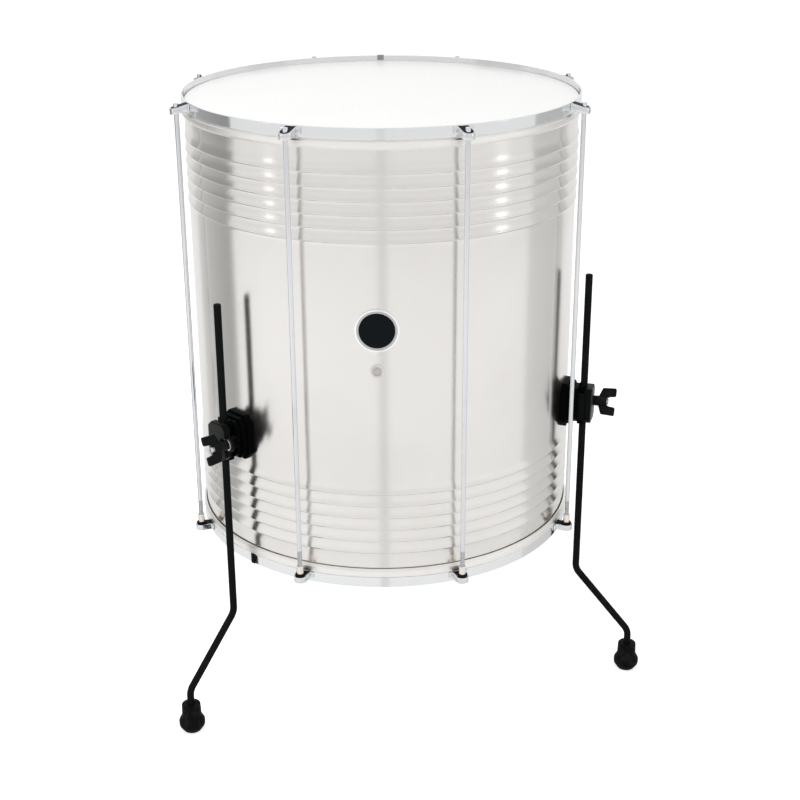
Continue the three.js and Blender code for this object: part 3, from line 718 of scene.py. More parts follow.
def rivet(azimuth, side, up):
    """A domed rivet head on the tab: radius * sin t by rise * cos t, down to the strap."""
    t = np.linspace(0.15, np.pi / 2, 8)
    face = lug_back + LUG_SHEET
    dome = np.column_stack((RIVET * np.sin(t), face + RIVET_RISE * np.cos(t)))
    return outward(azimuth, side, up, np.vstack((dome, (RIVET, face - RIVET_SUNK))), 20)


def slanted(grid, from_level, rise, rise_below=0.0):
    """Points lifted by rise, or by rise_below under a level, times 1 - share of the way out from the hoop."""
    share = np.clip((grid[..., 0] - lug_back) / (rod_circle + LOOP - lug_back), 0, 1)
    grid[..., 2] += np.where(grid[..., 2] > from_level, rise, rise_below) * (1 - share)
    return grid


print("rivet:", rivet(0, 0, 0).shape[:2], "rows and points")

# %% Lugs and bushes
LUG_SLANT, LUG_UNDERCUT, LUG_EDGE, RIVET_SHARE = 5.0, 4.0, 0.35, 0.35
HEAD, NUT, HEAD_ROOM, NUT_ROOM, ROD_ROOM, SHADE_FILL = 3.2, 4.3, 0.25, 0.15, 0.5, 0.8
# the loop's outer end, the depth of its pocket, what passes through the shelf, and the strap's height
lug_seats = {"top": (band_high - 6.2, 3.4, ROD_RADIUS, 7.6), "bottom": (band_high - 5.7, 2.8, NUT, 8.0)}
to_hoop = rod_circle - lug_back
# A black ring round the bottom nut: painted shade for the dark gap between the nut and the strap.
nut_shade_ring = rounded([(NUT + NUT_ROOM, 0.2), (6.9, 0.2), (6.4, -3.0), (NUT + NUT_ROOM, -3.0)],
                 [0.1, 0.3, 0.8, 0.2])
for k, azimuth in rod_azimuths.items():
    for end, (edge, sign, body) in ends.items():
        high, pocket, passes, tall = lug_seats[end]
        slant, undercut = (LUG_SLANT, LUG_UNDERCUT) if end == "top" else (0, 0)
        strap = slanted(pressed(strap_outline, high - tall, high, LUG_EDGE), high - tall / 2, slant, undercut)
        plate = shelf(passes + ROD_ROOM, high - pocket - SHELF, high - pocket, LOOP + SHELF_LAP)
        if end == "top":
            loop_shade_grid = slanted(shelf(HEAD + HEAD_ROOM, high - SHADE_FILL, high, to_hoop), high - SHADE_FILL / 2, slant)
        else:
            loop_shade_grid = shelf(NUT + NUT_ROOM, high - tall + 0.5, high - pocket - SHELF - 0.2, to_hoop)
        for grid in (strap, plate, loop_shade_grid):
            grid[..., 2] = grid[..., 2] * sign + edge
        middle = edge + sign * (high - tall / 2 + (slant + undercut) * RIVET_SHARE)
        tabs = LOOP + LUG_SHEET + LUG_TAB / 2
        grids = [(standing(azimuth, strap), False), (standing(azimuth, plate), True)]
        grids += [(rivet(azimuth, side * tabs, middle), False) for side in (-1, 1)]
        lug = piece(f"{end}_lug_strap_{k}", grids, bright_chrome, body, [f"{end}_lug_{k}"])
        # Black fills in the loop and round the nut: painted shade where the lug's hollow is dark.
        black = [(standing(azimuth, loop_shade_grid), True)]
        if end == "bottom":
            black.append((upright(azimuth, rod_circle, from_end(nut_shade_ring + (0, high - tall), end), 32), True))
        piece(f"{end}_lug_shade_fill_{k}", black, black_plastic_and_shade, body)
print("lug:", len(lug.data.vertices), "points, of", 2 * len(rod_azimuths))

# %% [markdown]
# ## Tension rods and nuts
#
# A rod hangs by its flange in the top lug, where its tall round head shows, and runs into a long nut in
# the bottom lug. Its last stretch carries a thread, which looks darker, so it is a piece of its own.
#
# A thread needs no modelling by hand: the radius falls and rises with the height less the angle, so one
# wave climbs round the rod at one pitch for each turn. A bump could fake it on the flat, but not at the
# rod's outline, where the ridges show. The same wave serves the clamp studs.

# %% Threads
THREAD_DEPTH, THREAD_ROWS, BAR_CHAMFER = 0.55, 5, 0.8


def threaded(radius, pitch, heights, sides):
    """radius - depth * (1 + cos(2 pi (height / pitch - turn / 2 pi))) / 2, on a grid of heights and turns."""
    a = turn_steps(sides)
    wave = (1 + np.cos(2 * np.pi * heights[:, None] / pitch - a)) / 2
    return radius - THREAD_DEPTH * pitch * wave, a


def threaded_bar(radius, pitch, plain_low, plain_high, thread_low, thread_high, sides=20):
    """Radius and height grids of a round bar whose thread fades in and out over one pitch."""
    t = np.linspace(0, np.pi / 2, 4)
    thread = np.arange(thread_low, thread_high, pitch / THREAD_ROWS)
    wave, a = threaded(radius, pitch, thread, sides)
    fade = np.clip(np.minimum(thread - thread_low, thread_high - thread) / pitch, 0, 1)[:, None]
    wave = radius + (wave - radius) * fade
    low = np.repeat((radius - BAR_CHAMFER * (1 - np.sin(t)))[:, None], sides, 1)
    chamfer = BAR_CHAMFER * (1 - np.cos(t))
    rows = [(low, plain_low + chamfer), (wave, thread), (low[::-1], plain_high - chamfer[::-1])]
    grid = np.vstack([r for r, _ in rows])
    level = np.concatenate([z for _, z in rows])
    return grid, level[:, None], a


print("a thread has", THREAD_ROWS, "rows for each turn")

# %% Rods
FLANGE, FLANGE_HEIGHT, HEAD_SUNK, ROD_PITCH, THREAD_SHOWN = 5.7, 2.2, 0.4, 1.0, 21
rod_low, rod_high = box_of("tension_rod_1")[:, 2]
nut_low, nut_high = box_of("rod_nut_1")[:, 2]
rod_seat = shell_top + lug_seats["top"][0] - lug_seats["top"][1] + FIT
head_high = shell_top + band_high - HEAD_SUNK
head_profile = rounded([(1, rod_seat), (FLANGE, rod_seat), (FLANGE, rod_seat + FLANGE_HEIGHT),
                        (HEAD, rod_seat + FLANGE_HEIGHT), (HEAD, head_high), (1, head_high)],
                       [0.1, 0.4, 0.4, 0.5, 0.9, 0.1])[5:-5]
thread_end = nut_high + THREAD_SHOWN
bar_profile = [(ROD_RADIUS, thread_end + 0.5), (ROD_RADIUS, rod_seat + 1)]
for k, azimuth in rod_azimuths.items():
    body = body_of_node[f"tension_rod_{k}"]
    radius, level, a = threaded_bar(ROD_RADIUS, ROD_PITCH, rod_low, thread_end + 0.5,
                                    rod_low + 1, thread_end - 0.5)
    thread = at(azimuth, rod_circle + radius * np.cos(a), radius * np.sin(a), level)
    grids = [(upright(azimuth, rod_circle, profile, 32), False) for profile in (bar_profile, head_profile)]
    piece(f"rod_bar_{k}", grids, bright_chrome, body, [f"tension_rod_{k}"])
    piece(f"rod_thread_{k}", [(thread, False)], threaded_steel, body)
print("rods from", round(float(rod_low), 1), "to", round(float(head_high), 1),
      "where the solids reach", round(float(rod_high), 1))

# %% Nuts
nut_seat, nut_bore = nut_low + FLANGE_HEIGHT, ROD_RADIUS + NUT_ROOM
nut_profile = rounded([(nut_bore, nut_low), (FLANGE, nut_low), (FLANGE, nut_seat), (NUT, nut_seat),
                       (NUT, nut_high), (nut_bore, nut_high)], [0.3, 0.4, 0.4, 0.4, 0.8, 0.3])
for k, azimuth in rod_azimuths.items():
    piece(f"long_nut_{k}", [(upright(azimuth, rod_circle, nut_profile, 32), True)], warm_nickel,
          "drum", [f"rod_nut_{k}"])
print("nuts from", round(float(nut_low), 1), "to", round(float(nut_high), 1))

# %% [markdown]
# ## The badge
#
# The badge is a thin round plate curved to the shell. Its face is plain black enamel, in a narrow grey
# ring and a raised bright rim. A flat disc would stand off the shell at its sides. So its profile is
# turned about a line straight out of the shell, and its sideways distance is then laid along the shell
# as an arc, which bends it like a pressed plate.

# %% Badge
badge_height, BADGE = box_of("badge").mean(0)[2], np.ptp(box_of("badge"), 0)[2] / 2
badge_azimuth = middle_of("badge")[0]
badge_back = SHELL_RADIUS + FIT
RIM, RIM_STEP, FACE_EDGE, RIM_RISE, STEP_RISE = BADGE + 1.1, BADGE - 1.5, BADGE - 4.1, 1.5, 1.1


def on_shell(azimuth, up, profile, sides=96):
    """A profile of (radius, rise) turned about a line out of the shell, then bent round with it."""
    radius, rise = np.asarray(profile, float).T[:, :, None]
    a = turn_steps(sides)
    side, height = radius * np.cos(a), radius * np.sin(a) + 0 * rise
    return at(azimuth + np.degrees(side / SHELL_RADIUS), badge_back + rise + 0 * a, 0, up + height)


outer_ring = rounded([(RIM, 0.02), (RIM, RIM_RISE), (RIM_STEP, RIM_RISE), (RIM_STEP, 0.02)],
                     [0.1, 0.4, 0.4, 0.1], 4)
inner_ring = rounded([(RIM_STEP - 0.05, 0.04), (RIM_STEP - 0.05, STEP_RISE), (FACE_EDGE, STEP_RISE),
                      (FACE_EDGE, 0.04)], [0.1, 0.2, 0.4, 0.1], 4)
disc = [(BADGE - 4.2, 0.05), (BADGE - 4.2, 0.7), (BADGE - 5, 0.85), (14, 0.95), (7, 1.0), (0.5, 1.0)]
rim, step, face = (on_shell(badge_azimuth, badge_height, profile)
                   for profile in (outer_ring, inner_ring, disc))
piece("badge_rim", [(rim, True)], badge_bright, "drum", ["badge"])
piece("badge_inner_ring", [(step, True)], badge_grey, "drum")
piece("badge_face", [(face, False)], badge_enamel, "drum")
print("badge:", round(float(2 * RIM), 1), "across, at a height of", round(float(badge_height), 1))

# %% [markdown]
# ## The vent's eyelet
#
# An eyelet lines the hole and protects its edge. It is a turned tube with a flange rolled over on each
# side of the wall. Inside it sits a small stop with a button in its middle.

# %% Eyelet
tube_end, inner_face = 251.0, 252.4
flange_back, flange_face = SHELL_RADIUS + 0.05, SHELL_RADIUS + 0.9
eyelet = rounded([(VENT_BORE, tube_end), (VENT_FLANGE, tube_end), (VENT_FLANGE, inner_face),
                  (VENT_TUBE, inner_face), (VENT_TUBE, flange_back), (VENT_FLANGE, flange_back),
                  (VENT_FLANGE, flange_face), (VENT_BORE, flange_face)],
                 [0.6, 0.5, 0.3, 0.05, 0.05, 0.3, 0.5, 0.7])
piece("vent_rim", [(outward(vent_azimuth, 0, vent_height, eyelet, 48), True)], eyelet_metal,
      "drum", ["vent_eyelet"])
stop = [(VENT_BORE + 0.2, 251.5), (VENT_BORE + 0.2, 253.2), (3.4, 252.9), (0.3, 252.9)]
button = [(3.3, 252.8), (3.3, 253.5), (2.9, 253.9), (1.6, 254.1), (0.3, 254.1)]
for name, profile in (("vent_stop_disc", stop), ("vent_button", button)):
    piece(name, [(outward(vent_azimuth, 0, vent_height, profile, 32), False)], vent_stop, "drum")
print("vent at a height of", round(float(vent_height), 1))

# %% [markdown]
# ## The legs
#
# A leg is a steel rod with two bends, so that the foot stands further out than the clamp. Its path is
# two straight runs and a slanted one between them, with an arc at each corner. A round section is
# carried along it, square to the path at every point. A curve object with a bevel would make the same
# tube, but not its rounded ends.

# %% Leg path
LEG_RADIUS, LEG_CIRCLE, BEND, UPPER_BEND, LOWER_BEND = 4.75, 280.2, 20.0, 148.4, 59.8
BEND_POINTS, TIP_POINTS, TIP_EDGE = 14, 5, 1.3
leg_low, leg_high = box_of("left_leg")[:, 2]


def leg_path():
    """Corners rounded as arcs, and radii that shrink at the tips; straight runs need no more points."""
    corners = [(LEG_CIRCLE, leg_high), (LEG_CIRCLE, UPPER_BEND),
               (foot_circle, LOWER_BEND), (foot_circle, leg_low)]
    bends = rounded(corners, BEND, BEND_POINTS)[BEND_POINTS:3 * BEND_POINTS]
    t = np.linspace(0, np.pi / 2, TIP_POINTS)
    tip = TIP_EDGE * (1 - np.cos(t))
    path = np.vstack((np.column_stack((np.full(TIP_POINTS, LEG_CIRCLE), leg_high - tip)), bends,
                      np.column_stack((np.full(TIP_POINTS, foot_circle), leg_low + tip[::-1]))))
    thin = np.ones(len(path))
    thin[:TIP_POINTS] = 1 - (TIP_EDGE / LEG_RADIUS) * (1 - np.sin(t))
    thin[-TIP_POINTS:] = thin[:TIP_POINTS][::-1]
    return path, LEG_RADIUS * thin


def swept(azimuth, path, radii, sides=28):
    """centre + radius * (cos a * normal + sin a * sideways), with the normal square to the path."""
    along = unit(np.gradient(path, axis=0))
    a = turn_steps(sides)
    out = path[:, :1] + radii[:, None] * np.cos(a) * along[:, 1:]
    up = path[:, 1:] - radii[:, None] * np.cos(a) * along[:, :1]
    return at(azimuth, out, radii[:, None] * np.sin(a), up)


path, radii = leg_path()
print("leg path:", len(path), "points, from", path[0].round(1), "to", path[-1].round(1))

# %% [markdown]
# ## The feet
#
# A foot is a moulded rubber shoe pushed over the leg's end: a flat sole, a swollen body and a narrow
# sleeve. It is round, so one profile with soft corners is turned about the leg's lower end.

# %% Legs and feet
FOOT = rounded([(0.6, 0), (11.5, 0), (17.1, 8), (17.3, 15), (13.0, 23.5), (12.4, 40), (5.2, 40), (5.2, 8.4),
                (0.6, 8.4)], [0.1, 1.0, 5.0, 3.0, 3.5, 1.6, 0.5, 0.3, 0.1], 6)
for side, azimuth in leg_azimuths.items():
    body = body_of_node[f"{side}_leg"]
    piece(f"{side}_leg_rod", [(swept(azimuth, path, radii), False)], powder_coat, body,
          [f"{side}_leg"])
    piece(f"{side}_rubber_foot", [(upright(azimuth, foot_circle, FOOT, 48), True)], foot_rubber,
          body, [f"{side}_foot"])
print("foot:", len(FOOT), "points,", 2 * FOOT[:, 0].max().round(1), "across")

# %% [markdown]
# ## The leg brackets
#
# The bracket is a casting of three steps, each a little smaller than the one below, hollowed at the back
# to sit on the shell. On it stand a narrow guide with a groove for the leg and a round boss for the stud.
# The steps are one surface: the same outline with cut corners, drawn again at each level with its own
# size. The guide is pressed from its own section, groove and all, because that section is the same all
# the way up. The surfaces run into each other as the faces of a casting do, so no Boolean is needed.

# %% Bracket outlines
STEP, STEP_COUNT, STEP_EDGE, EDGE_ROWS, JOIN = 7.0, 3, 1.1, 5, 0.02
GUIDE_ROOT, GUIDE_FACE, GUIDE_HALF, GUIDE_TALL, GROOVE_ROOM = 274.0, 281.75, 10.5, 27.35, 0.1
STUD_SIDE, STUD_RADIUS, STUD_ROOM = 14.8, 4.0, 0.3
bracket_height = box_of("left_bracket").mean(0)[2]
stud_height = box_of("left_clamp_stud").mean(0)[2]
BOSS = rounded([(STUD_RADIUS + STUD_ROOM, 273.5), (8.5, 273.5), (7.6, 283.1),
                (STUD_RADIUS + STUD_ROOM, 283.1)], [0.2, 0.5, 0.8, 0.3])


def step_outline(i):
    """The outline of step i, with cut corners: each step is narrower, lower and less cut."""
    return octagon((50.6 - 6.05 * i) / 2, (60.8 - 6.6 * i) / 2, 10 - i)


def casting():
    """Outlines of (side, up, out): the back at sqrt(r ** 2 - side ** 2) on the shell, then each step."""
    t = np.linspace(0, np.pi / 2, EDGE_ROWS)
    back = step_outline(0)
    rows = [np.column_stack((back * JOIN, np.full(len(back), SHELL_RADIUS + FIT))),
            np.column_stack((back, np.sqrt((SHELL_RADIUS + FIT) ** 2 - back[:, 0] ** 2)))]
    for i in range(STEP_COUNT):
        face = SHELL_RADIUS + (i + 1) * STEP - FIT
        if i:
            rows.append(np.column_stack((step_outline(i), np.full(len(back), face - STEP + JOIN))))
        rows += [np.column_stack((inset(step_outline(i), STEP_EDGE * (1 - np.cos(s))),
                                  np.full(len(back), face - STEP_EDGE * (1 - np.sin(s))))) for s in t]
    return np.stack(rows)


def guide_outline():
    """A block's section with a half round groove for the leg, open outwards."""
    groove = LEG_RADIUS + FIT + GROOVE_ROOM
    t = np.linspace(-np.pi / 2, -3 * np.pi / 2, 15)
    arc = np.column_stack((LEG_CIRCLE + groove * np.cos(t), groove * np.sin(t)))
    left = rounded([(GUIDE_ROOT, -GUIDE_HALF), (GUIDE_FACE, -GUIDE_HALF), (GUIDE_FACE, -groove),
                    (LEG_CIRCLE, -groove), (GUIDE_ROOT, 0)], [0.1, 1.2, 0.5, 0.1, 0.1], 4)[:12]
    return np.vstack((left, arc, (left * (1, -1))[::-1]))


print("casting:", casting().shape[:2], "rows and points; guide:", len(guide_outline()), "points")

# %% Brackets
for side, azimuth in leg_azimuths.items():
    steps = facing(azimuth, casting())
    steps[..., 2] += bracket_height
    guide = pressed(guide_outline(), bracket_height - GUIDE_TALL, bracket_height + GUIDE_TALL, 0.9)
    boss = outward(azimuth, STUD_SIDE, stud_height, BOSS, 40)
    piece(f"{side}_bracket_casting", [(steps, False), (standing(azimuth, guide), False), (boss, True)],
          cast_coat, "drum", [f"{side}_bracket"])
print("brackets at a height of", round(float(bracket_height), 1), "with studs", round(float(stud_height), 1))

# %% [markdown]
# ## The clamp
#
# A plate over the leg is squeezed by one wing nut on a stud beside it. The plate has a pad that bears on
# the leg, an ear round the stud and a heel on the far side that rests on the casting. It is built in
# three layers, each pressed from an outline: the ear's circle stands out of the plate's side, and in the
# pad the same circle, a little smaller, cuts in and leaves room for the washer.

# %% Clamp plate
PLATE_BACK, EAR_FACE, PAD_FACE, EAR, WASHER_ROOM = 283.45, 287.25, 292.65, 11.0, 8.8
PLATE_HALF, PLATE_RISE, PLATE_CUT, HEEL, HEEL_RISE = 17.2, 24.3, 6.0, 5, 18
stud_drop = stud_height - bracket_height


def plate_side(radius, outwards):
    """Points of a circle round the stud where it stands out of the plate's side, or cuts into it."""
    reach = np.sqrt(radius ** 2 - (PLATE_HALF - STUD_SIDE) ** 2)
    start = np.arctan2(reach, PLATE_HALF - STUD_SIDE)
    t = np.linspace(-start, start, 25) if outwards else np.linspace(-start, start - 2 * np.pi, 33)
    return np.column_stack((STUD_SIDE + radius * np.cos(t), stud_drop + radius * np.sin(t)))


def plate_outline(radius, outwards):
    """A plate with cut corners, mirrored top to bottom, with the circle round the stud in its side."""
    low = rounded([(-PLATE_HALF, PLATE_CUT - PLATE_RISE), (PLATE_CUT - PLATE_HALF, -PLATE_RISE),
                   (PLATE_HALF - PLATE_CUT, -PLATE_RISE), (PLATE_HALF, PLATE_CUT - PLATE_RISE),
                   (PLATE_HALF, 0), (-PLATE_HALF, 0)], 1.2, 4)[:16]
    return np.vstack((low, plate_side(radius, outwards), (low * (1, -1))[::-1]))


ear_layer = pressed(plate_outline(EAR, True), PLATE_BACK, EAR_FACE, 0.6)
pad_layer = pressed(plate_outline(WASHER_ROOM, False), EAR_FACE - 1, PAD_FACE, 1.2)
heel = pressed(rounded([(-PLATE_HALF, -HEEL_RISE), (HEEL - PLATE_HALF, -HEEL_RISE),
                        (HEEL - PLATE_HALF, HEEL_RISE), (-PLATE_HALF, HEEL_RISE)], 0.8),
               SHELL_RADIUS + STEP_COUNT * STEP, EAR_FACE - 0.5, 0.6)
for side, azimuth in leg_azimuths.items():
    grids = []
    for layer in (ear_layer, pad_layer, heel):
        grid = facing(azimuth, layer)
        grid[..., 2] += bracket_height
        grids.append((grid, False))
    piece(f"{side}_plate", grids, plate_coat, body_of_node[f"{side}_clamp_plate"],
          [f"{side}_clamp_plate"])
print("clamp plate from", PLATE_BACK, "to", PAD_FACE, "out of the drum's axis")

# %% [markdown]
# ## Studs and washers
#
# A headed stud is trapped between casting and shell, and comes out through the boss and the ear. Its
# thread is the rods' own wave at a coarser pitch. A chromed washer turns under the wing nut and comes
# off with the plate.

# %% Studs and washers
STUD_PITCH, STUD_LENGTH, STUD_HEAD, STUD_HEAD_TALL = 1.25, 58.0, 7.5, 3.4
WASHER_RADIUS, WASHER_LOW, WASHER_HIGH = 8.4, 287.55, 289.15
WASHER = rounded([(STUD_RADIUS + STUD_ROOM, WASHER_LOW), (WASHER_RADIUS, WASHER_LOW),
                  (WASHER_RADIUS, WASHER_HIGH), (STUD_RADIUS + STUD_ROOM, WASHER_HIGH)], [0.2, 0.3, 0.4, 0.2])
back, tip = SHELL_RADIUS + FIT, SHELL_RADIUS + STUD_LENGTH
head = rounded([(1, back), (STUD_HEAD, back), (STUD_HEAD, back + STUD_HEAD_TALL), (1, back + STUD_HEAD_TALL)],
               [0.1, 0.5, 0.5, 0.1])
for side, azimuth in leg_azimuths.items():
    radius, level, a = threaded_bar(STUD_RADIUS, STUD_PITCH, back + 1, tip, back + 6, tip - 1, 24)
    bar = at(azimuth, level, STUD_SIDE + radius * np.cos(a), stud_height + radius * np.sin(a))
    piece(f"{side}_stud", [(bar, False), (outward(azimuth, STUD_SIDE, stud_height, head, 32), False)],
          threaded_steel, "drum", [f"{side}_clamp_stud"])
    piece(f"{side}_washer", [(outward(azimuth, STUD_SIDE, stud_height, WASHER, 40), True)], bright_chrome,
          body_of_node[f"{side}_clamp_plate"])
print("stud:", radius.shape, "rows and points, out to", tip)

# %% [markdown]
# ## The wing nuts
#
# A wing nut is cast: a long hub with two blades. Each blade slants off the hub and then runs straight
# out past its end, and has a shallow panel in each face. The stud's bright end shows in the hub. A blade
# is pressed from its outline, and the panel is two more rows of points, drawn in from the edge and
# sunk. The photograph gives the angles of the two nuts that show, and the rear one copies the left.

# %% Wing nuts
WING_BACK, HUB, HUB_LENGTH, HUB_BORE = 289.45, 7.0, 20.4, STUD_RADIUS + 0.35
BLADE_HALF, BLADE_EDGE, PANEL_EDGE, PANEL_FLOOR, PANEL_DEPTH = 3.3, 1.5, 2.2, 2.8, 0.7
WING_ANGLES = {"left": -68, "right": 58, "rear": -68}
WING_CORNERS = np.array([(8, 3.5), (13.5, 18), (32, 19), (32, 7.5), (23.5, 6.5), (19, 3.5)])
hub_profile = rounded([(HUB_BORE, WING_BACK), (HUB, WING_BACK), (HUB, WING_BACK + HUB_LENGTH),
                       (HUB_BORE, WING_BACK + HUB_LENGTH)], [0.3, 0.8, 1.3, 0.5])


def wing_plate():
    """A cranked blade in (out, side), slanting off the hub and then running out, with a shallow panel."""
    outline = rounded((WING_CORNERS + (WING_BACK, 0))[::-1], [0.8, 2.0, 2.2, 2.2, 3.0, 0.8][::-1], 6)
    plate = pressed(outline, -BLADE_HALF, BLADE_HALF, BLADE_EDGE, 6)
    panel = [np.column_stack((inset(outline, i), np.full(len(outline), level)))
             for i, level in ((PANEL_EDGE, BLADE_HALF), (PANEL_FLOOR, BLADE_HALF - PANEL_DEPTH))]
    other = [row * (1, 1, -1) for row in panel[::-1]]
    return np.concatenate((np.stack(other), plate, np.stack(panel)))


blade = wing_plate()
for side, azimuth in leg_azimuths.items():
    grids = [(outward(azimuth, STUD_SIDE, stud_height, hub_profile, 40), True)]
    for half_turn in (0, 180):
        t = np.radians(WING_ANGLES[side] + half_turn)
        offset = blade[..., 1] * np.cos(t) - blade[..., 2] * np.sin(t)
        rise = blade[..., 1] * np.sin(t) + blade[..., 2] * np.cos(t)
        grids.append((at(azimuth, blade[..., 0], STUD_SIDE + offset, stud_height + rise), False))
    piece(f"{side}_wing", grids, wing_coat, body_of_node[f"{side}_wing_nut"],
          [f"{side}_wing_nut"])
print("wing nut:", blade.shape[:2], "rows and points in a blade")

# %% [markdown]
# ## The studio
#
# The drum stands on a white seamless floor. Chrome and aluminium show what is round them more than
# their own colour, so the room matters more than the lamps. It is white, and its light is split by the
# kind of ray: the camera sees a plain white ground, the metals mirror a room of their own, and the lamps
# draw the drum's soft shadow. In reflections the floor is darker near the drum, which shades it.

# %% Light by kind of ray
def ray_share(tree, camera, glossy, other):
    """A strength with one value for camera and transmission rays, one for glossy rays, one for the rest."""
    rays = node(tree, "ShaderNodeLightPath").outputs
    clear = node(tree, "ShaderNodeMath", {0: rays["Is Camera Ray"], 1: rays["Is Transmission Ray"]},
                 operation="MAXIMUM")
    mirrored = node(tree, "ShaderNodeMix", {0: rays["Is Glossy Ray"], 2: other, 3: glossy}).outputs[0]
    return node(tree, "ShaderNodeMix", {0: clear.outputs[0], 2: mirrored, 3: camera}).outputs[0]


def plain(name, color):
    """A matt stage surface with its own white light, whose strength is linked in later."""
    material = bpy.data.materials.new(name)
    material.use_nodes = True
    shader = material.node_tree.nodes["Principled BSDF"]
    shader.inputs["Base Color"].default_value = (color, color, color, 1)
    shader.inputs["Roughness"].default_value = 0.9
    shader.inputs["Specular IOR Level"].default_value = 0.0
    shader.inputs["Emission Color"].default_value = (1, 1, 1, 1)
    return material, material.node_tree, shader


print("three strengths: seen, mirrored and shed on other things")

# %% Floor and room
FLOOR_SEEN, FLOOR_NEAR, FLOOR_FAR, NEAR, FAR = 0.7, 0.2, 0.43, 0.5, 2.0
floor_white, tree, shader = plain("floor_white", 0.8)
places = node(tree, "ShaderNodeTexCoord").outputs["Object"]
reach = node(tree, "ShaderNodeVectorMath", {0: places}, operation="LENGTH")
mirrored_floor = remap(tree, reach.outputs["Value"], NEAR, FAR, FLOOR_NEAR, FLOOR_FAR)
tree.links.new(ray_share(tree, FLOOR_SEEN, mirrored_floor, 0.0), shader.inputs["Emission Strength"])
bpy.ops.mesh.primitive_plane_add(size=30, location=(0, 0, 0))
floor = bpy.context.object
floor.name = "studio_floor"
floor.data.materials.append(floor_white)

world = bpy.data.worlds.new("studio_room")
bpy.context.scene.world = world
world.use_nodes = True
room = world.node_tree
ROOM_SEEN, ROOM_MIRRORED, ROOM_LIGHT = 1.0, 0.93, 0.45
background = room.nodes["Background"].inputs
room.links.new(ray_share(room, ROOM_SEEN, ROOM_MIRRORED, ROOM_LIGHT), background["Strength"])
background["Color"].default_value = (1, 1, 1, 1)
print("mirrored: floor", FLOOR_NEAR, "to", FLOOR_FAR, "and room", ROOM_MIRRORED)

# %% [markdown]
# ## The lamps
#
# A large soft box hangs over the head and a little to the left, and makes the faint shadow to the
# drum's right. Two weak ones open up the dark parts at the sides. None of them shows in reflections:
# the cards below do that work, and can be placed by what the metal mirrors.

# %% Lamps
axis_metres = drum_axis / METRE


def lamp(name, azimuth, distance, height, size, power, aim=0.45):
    """A square soft box on an azimuth, turned to face a point on the drum's axis."""
    data = bpy.data.lights.new(name, "AREA")
    data.shape, data.size, data.energy = "SQUARE", size, power
    made = bpy.data.objects.new(name, data)
    place = at(azimuth, distance, 0, height) / METRE + axis_metres
    made.location = place
    made.rotation_mode = "QUATERNION"
    made.rotation_quaternion = Vector(axis_metres + (0, 0, aim) - place).to_track_quat("-Z", "Y")
    made.visible_glossy = False
    bpy.context.scene.collection.objects.link(made)


lamp("top_box", -40, 800, 2900, 1.8, 33)
lamp("left_box", -60, 2200, 1500, 1.2, 4)
lamp("right_box", 60, 2300, 1500, 1.2, 5)
print(len(bpy.data.lights), "lamps")

# %% [markdown]
# ## The cards
#
# Photographers of bright metal stand cards round it to draw its form, and so does this room. A wide card
# close on each side darkens the shell's two edges. A narrow one in front draws the line down its middle.
# Above, a darker card on each side shades the far ends of the top hoop. Two far, small and very bright
# windows make the spots of light on the beads. High round the room runs a slightly greyer wall, which
# the hoops mirror. A card's place is an azimuth and a height, so it is found straight from where its
# reflection has to lie.

# %% Grey cards
CARD_STEPS = 12


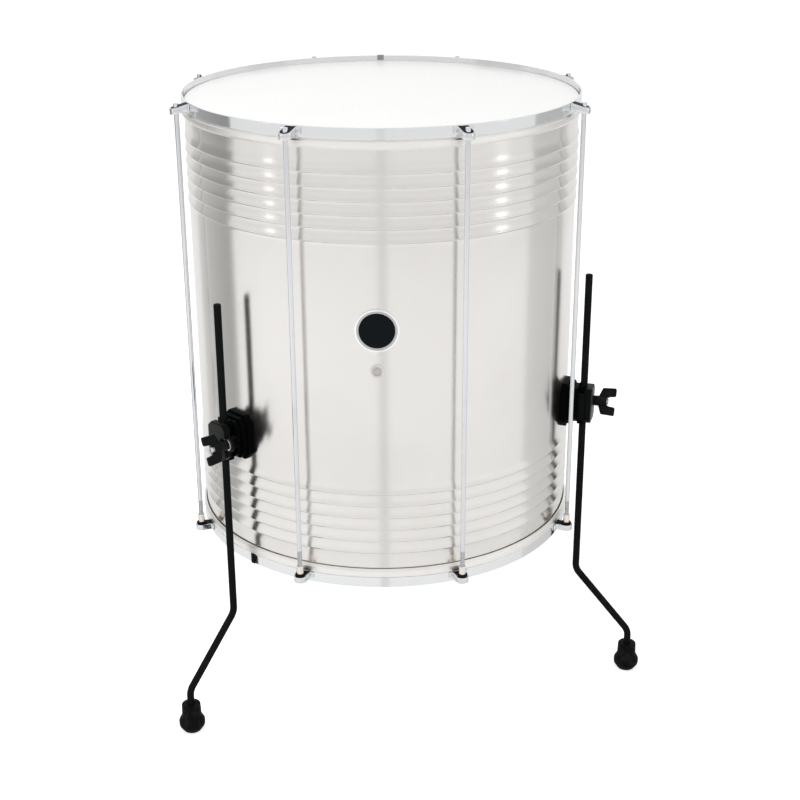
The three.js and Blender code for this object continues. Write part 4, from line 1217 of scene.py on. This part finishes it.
def card(name, azimuths, tones, distance=550, levels=(5, 1000)):
    """An upright card on an arc, seen only in reflections; its tone runs from one edge to the other."""
    turns = np.linspace(*azimuths, CARD_STEPS + 1)
    points = np.concatenate([at(turns, distance, 0, level) for level in levels]) / METRE + axis_metres
    i = np.arange(CARD_STEPS)[:, None]
    mesh = bpy.data.meshes.new(name)
    mesh.from_pydata(points.tolist(), [], (i + [0, 1, CARD_STEPS + 2, CARD_STEPS + 1]).tolist())
    tone = mesh.attributes.new("tone", "FLOAT", "POINT")
    tone.data.foreach_set("value", np.tile(np.linspace(*tones, CARD_STEPS + 1), 2).astype(np.float32))
    material, tree, shader = plain(name, 0.0)
    tree.links.new(node(tree, "ShaderNodeAttribute", attribute_name="tone").outputs["Fac"],
                   shader.inputs["Emission Strength"])
    mesh.materials.append(material)
    made = bpy.data.objects.new(name, mesh)
    made.visible_camera = made.visible_diffuse = made.visible_shadow = made.visible_transmission = False
    bpy.context.scene.collection.objects.link(made)


card("left_card", (-77.4, -115), (0.38, 0.68), levels=(100, 1000))
card("right_card", (74.0, 108.5), (0.71, 0.6))
card("front_card", (-2.4, 1.4), (0.76, 0.76))
card("left_upper_card", (-72.6, -115), (0.28, 0.46), 545, (700, 1000))
card("right_upper_card", (74.0, 103), (0.52, 0.5), 545, (715, 1000))
card("left_window", (-61.0, -64.2), (4.2, 4.2), 2200, (570, 690))
card("right_window", (63.7, 69.6), (3.8, 3.8), 2200, (570, 690))
card("room_wall", (-125, 125), (0.8, 0.8), 3000, (930, 3600))

# %% [markdown]
# ## The camera
#
# The view is the photograph's: nearly straight at the badge, from above the head, turned down by 22
# degrees. Place, angles and lens were solved together from the rims, the rods and the feet in the
# picture. The camera's three axes are worked out from yaw, pitch and roll, and go into its matrix.

# %% Camera
YAW, PITCH, ROLL = np.radians((0.658, 22.278, -0.268))
CAMERA_PLACE, LENS, SENSOR = np.array([0.0, -1.8959, 1.1509]), 65.59, 36.0
forward = np.array([np.sin(YAW) * np.cos(PITCH), np.cos(YAW) * np.cos(PITCH), -np.sin(PITCH)])
right = np.array([np.cos(YAW), -np.sin(YAW), 0.0])
up = np.cross(right, forward)
right, up = right * np.cos(ROLL) + up * np.sin(ROLL), up * np.cos(ROLL) - right * np.sin(ROLL)
camera = bpy.data.objects.new("camera", bpy.data.cameras.new("camera"))
camera.data.lens, camera.data.sensor_width = LENS, SENSOR
placed = np.eye(4)
placed[:3, :3] = np.column_stack((right, up, -forward))
placed[:3, 3] = CAMERA_PLACE + axis_metres
camera.matrix_world = Matrix(placed.tolist())
bpy.context.scene.collection.objects.link(camera)
bpy.context.scene.camera = camera
bpy.context.scene.view_settings.view_transform = "Standard"
print("camera at", [round(float(v), 3) for v in placed[:3, 3]], "with a lens of", LENS)
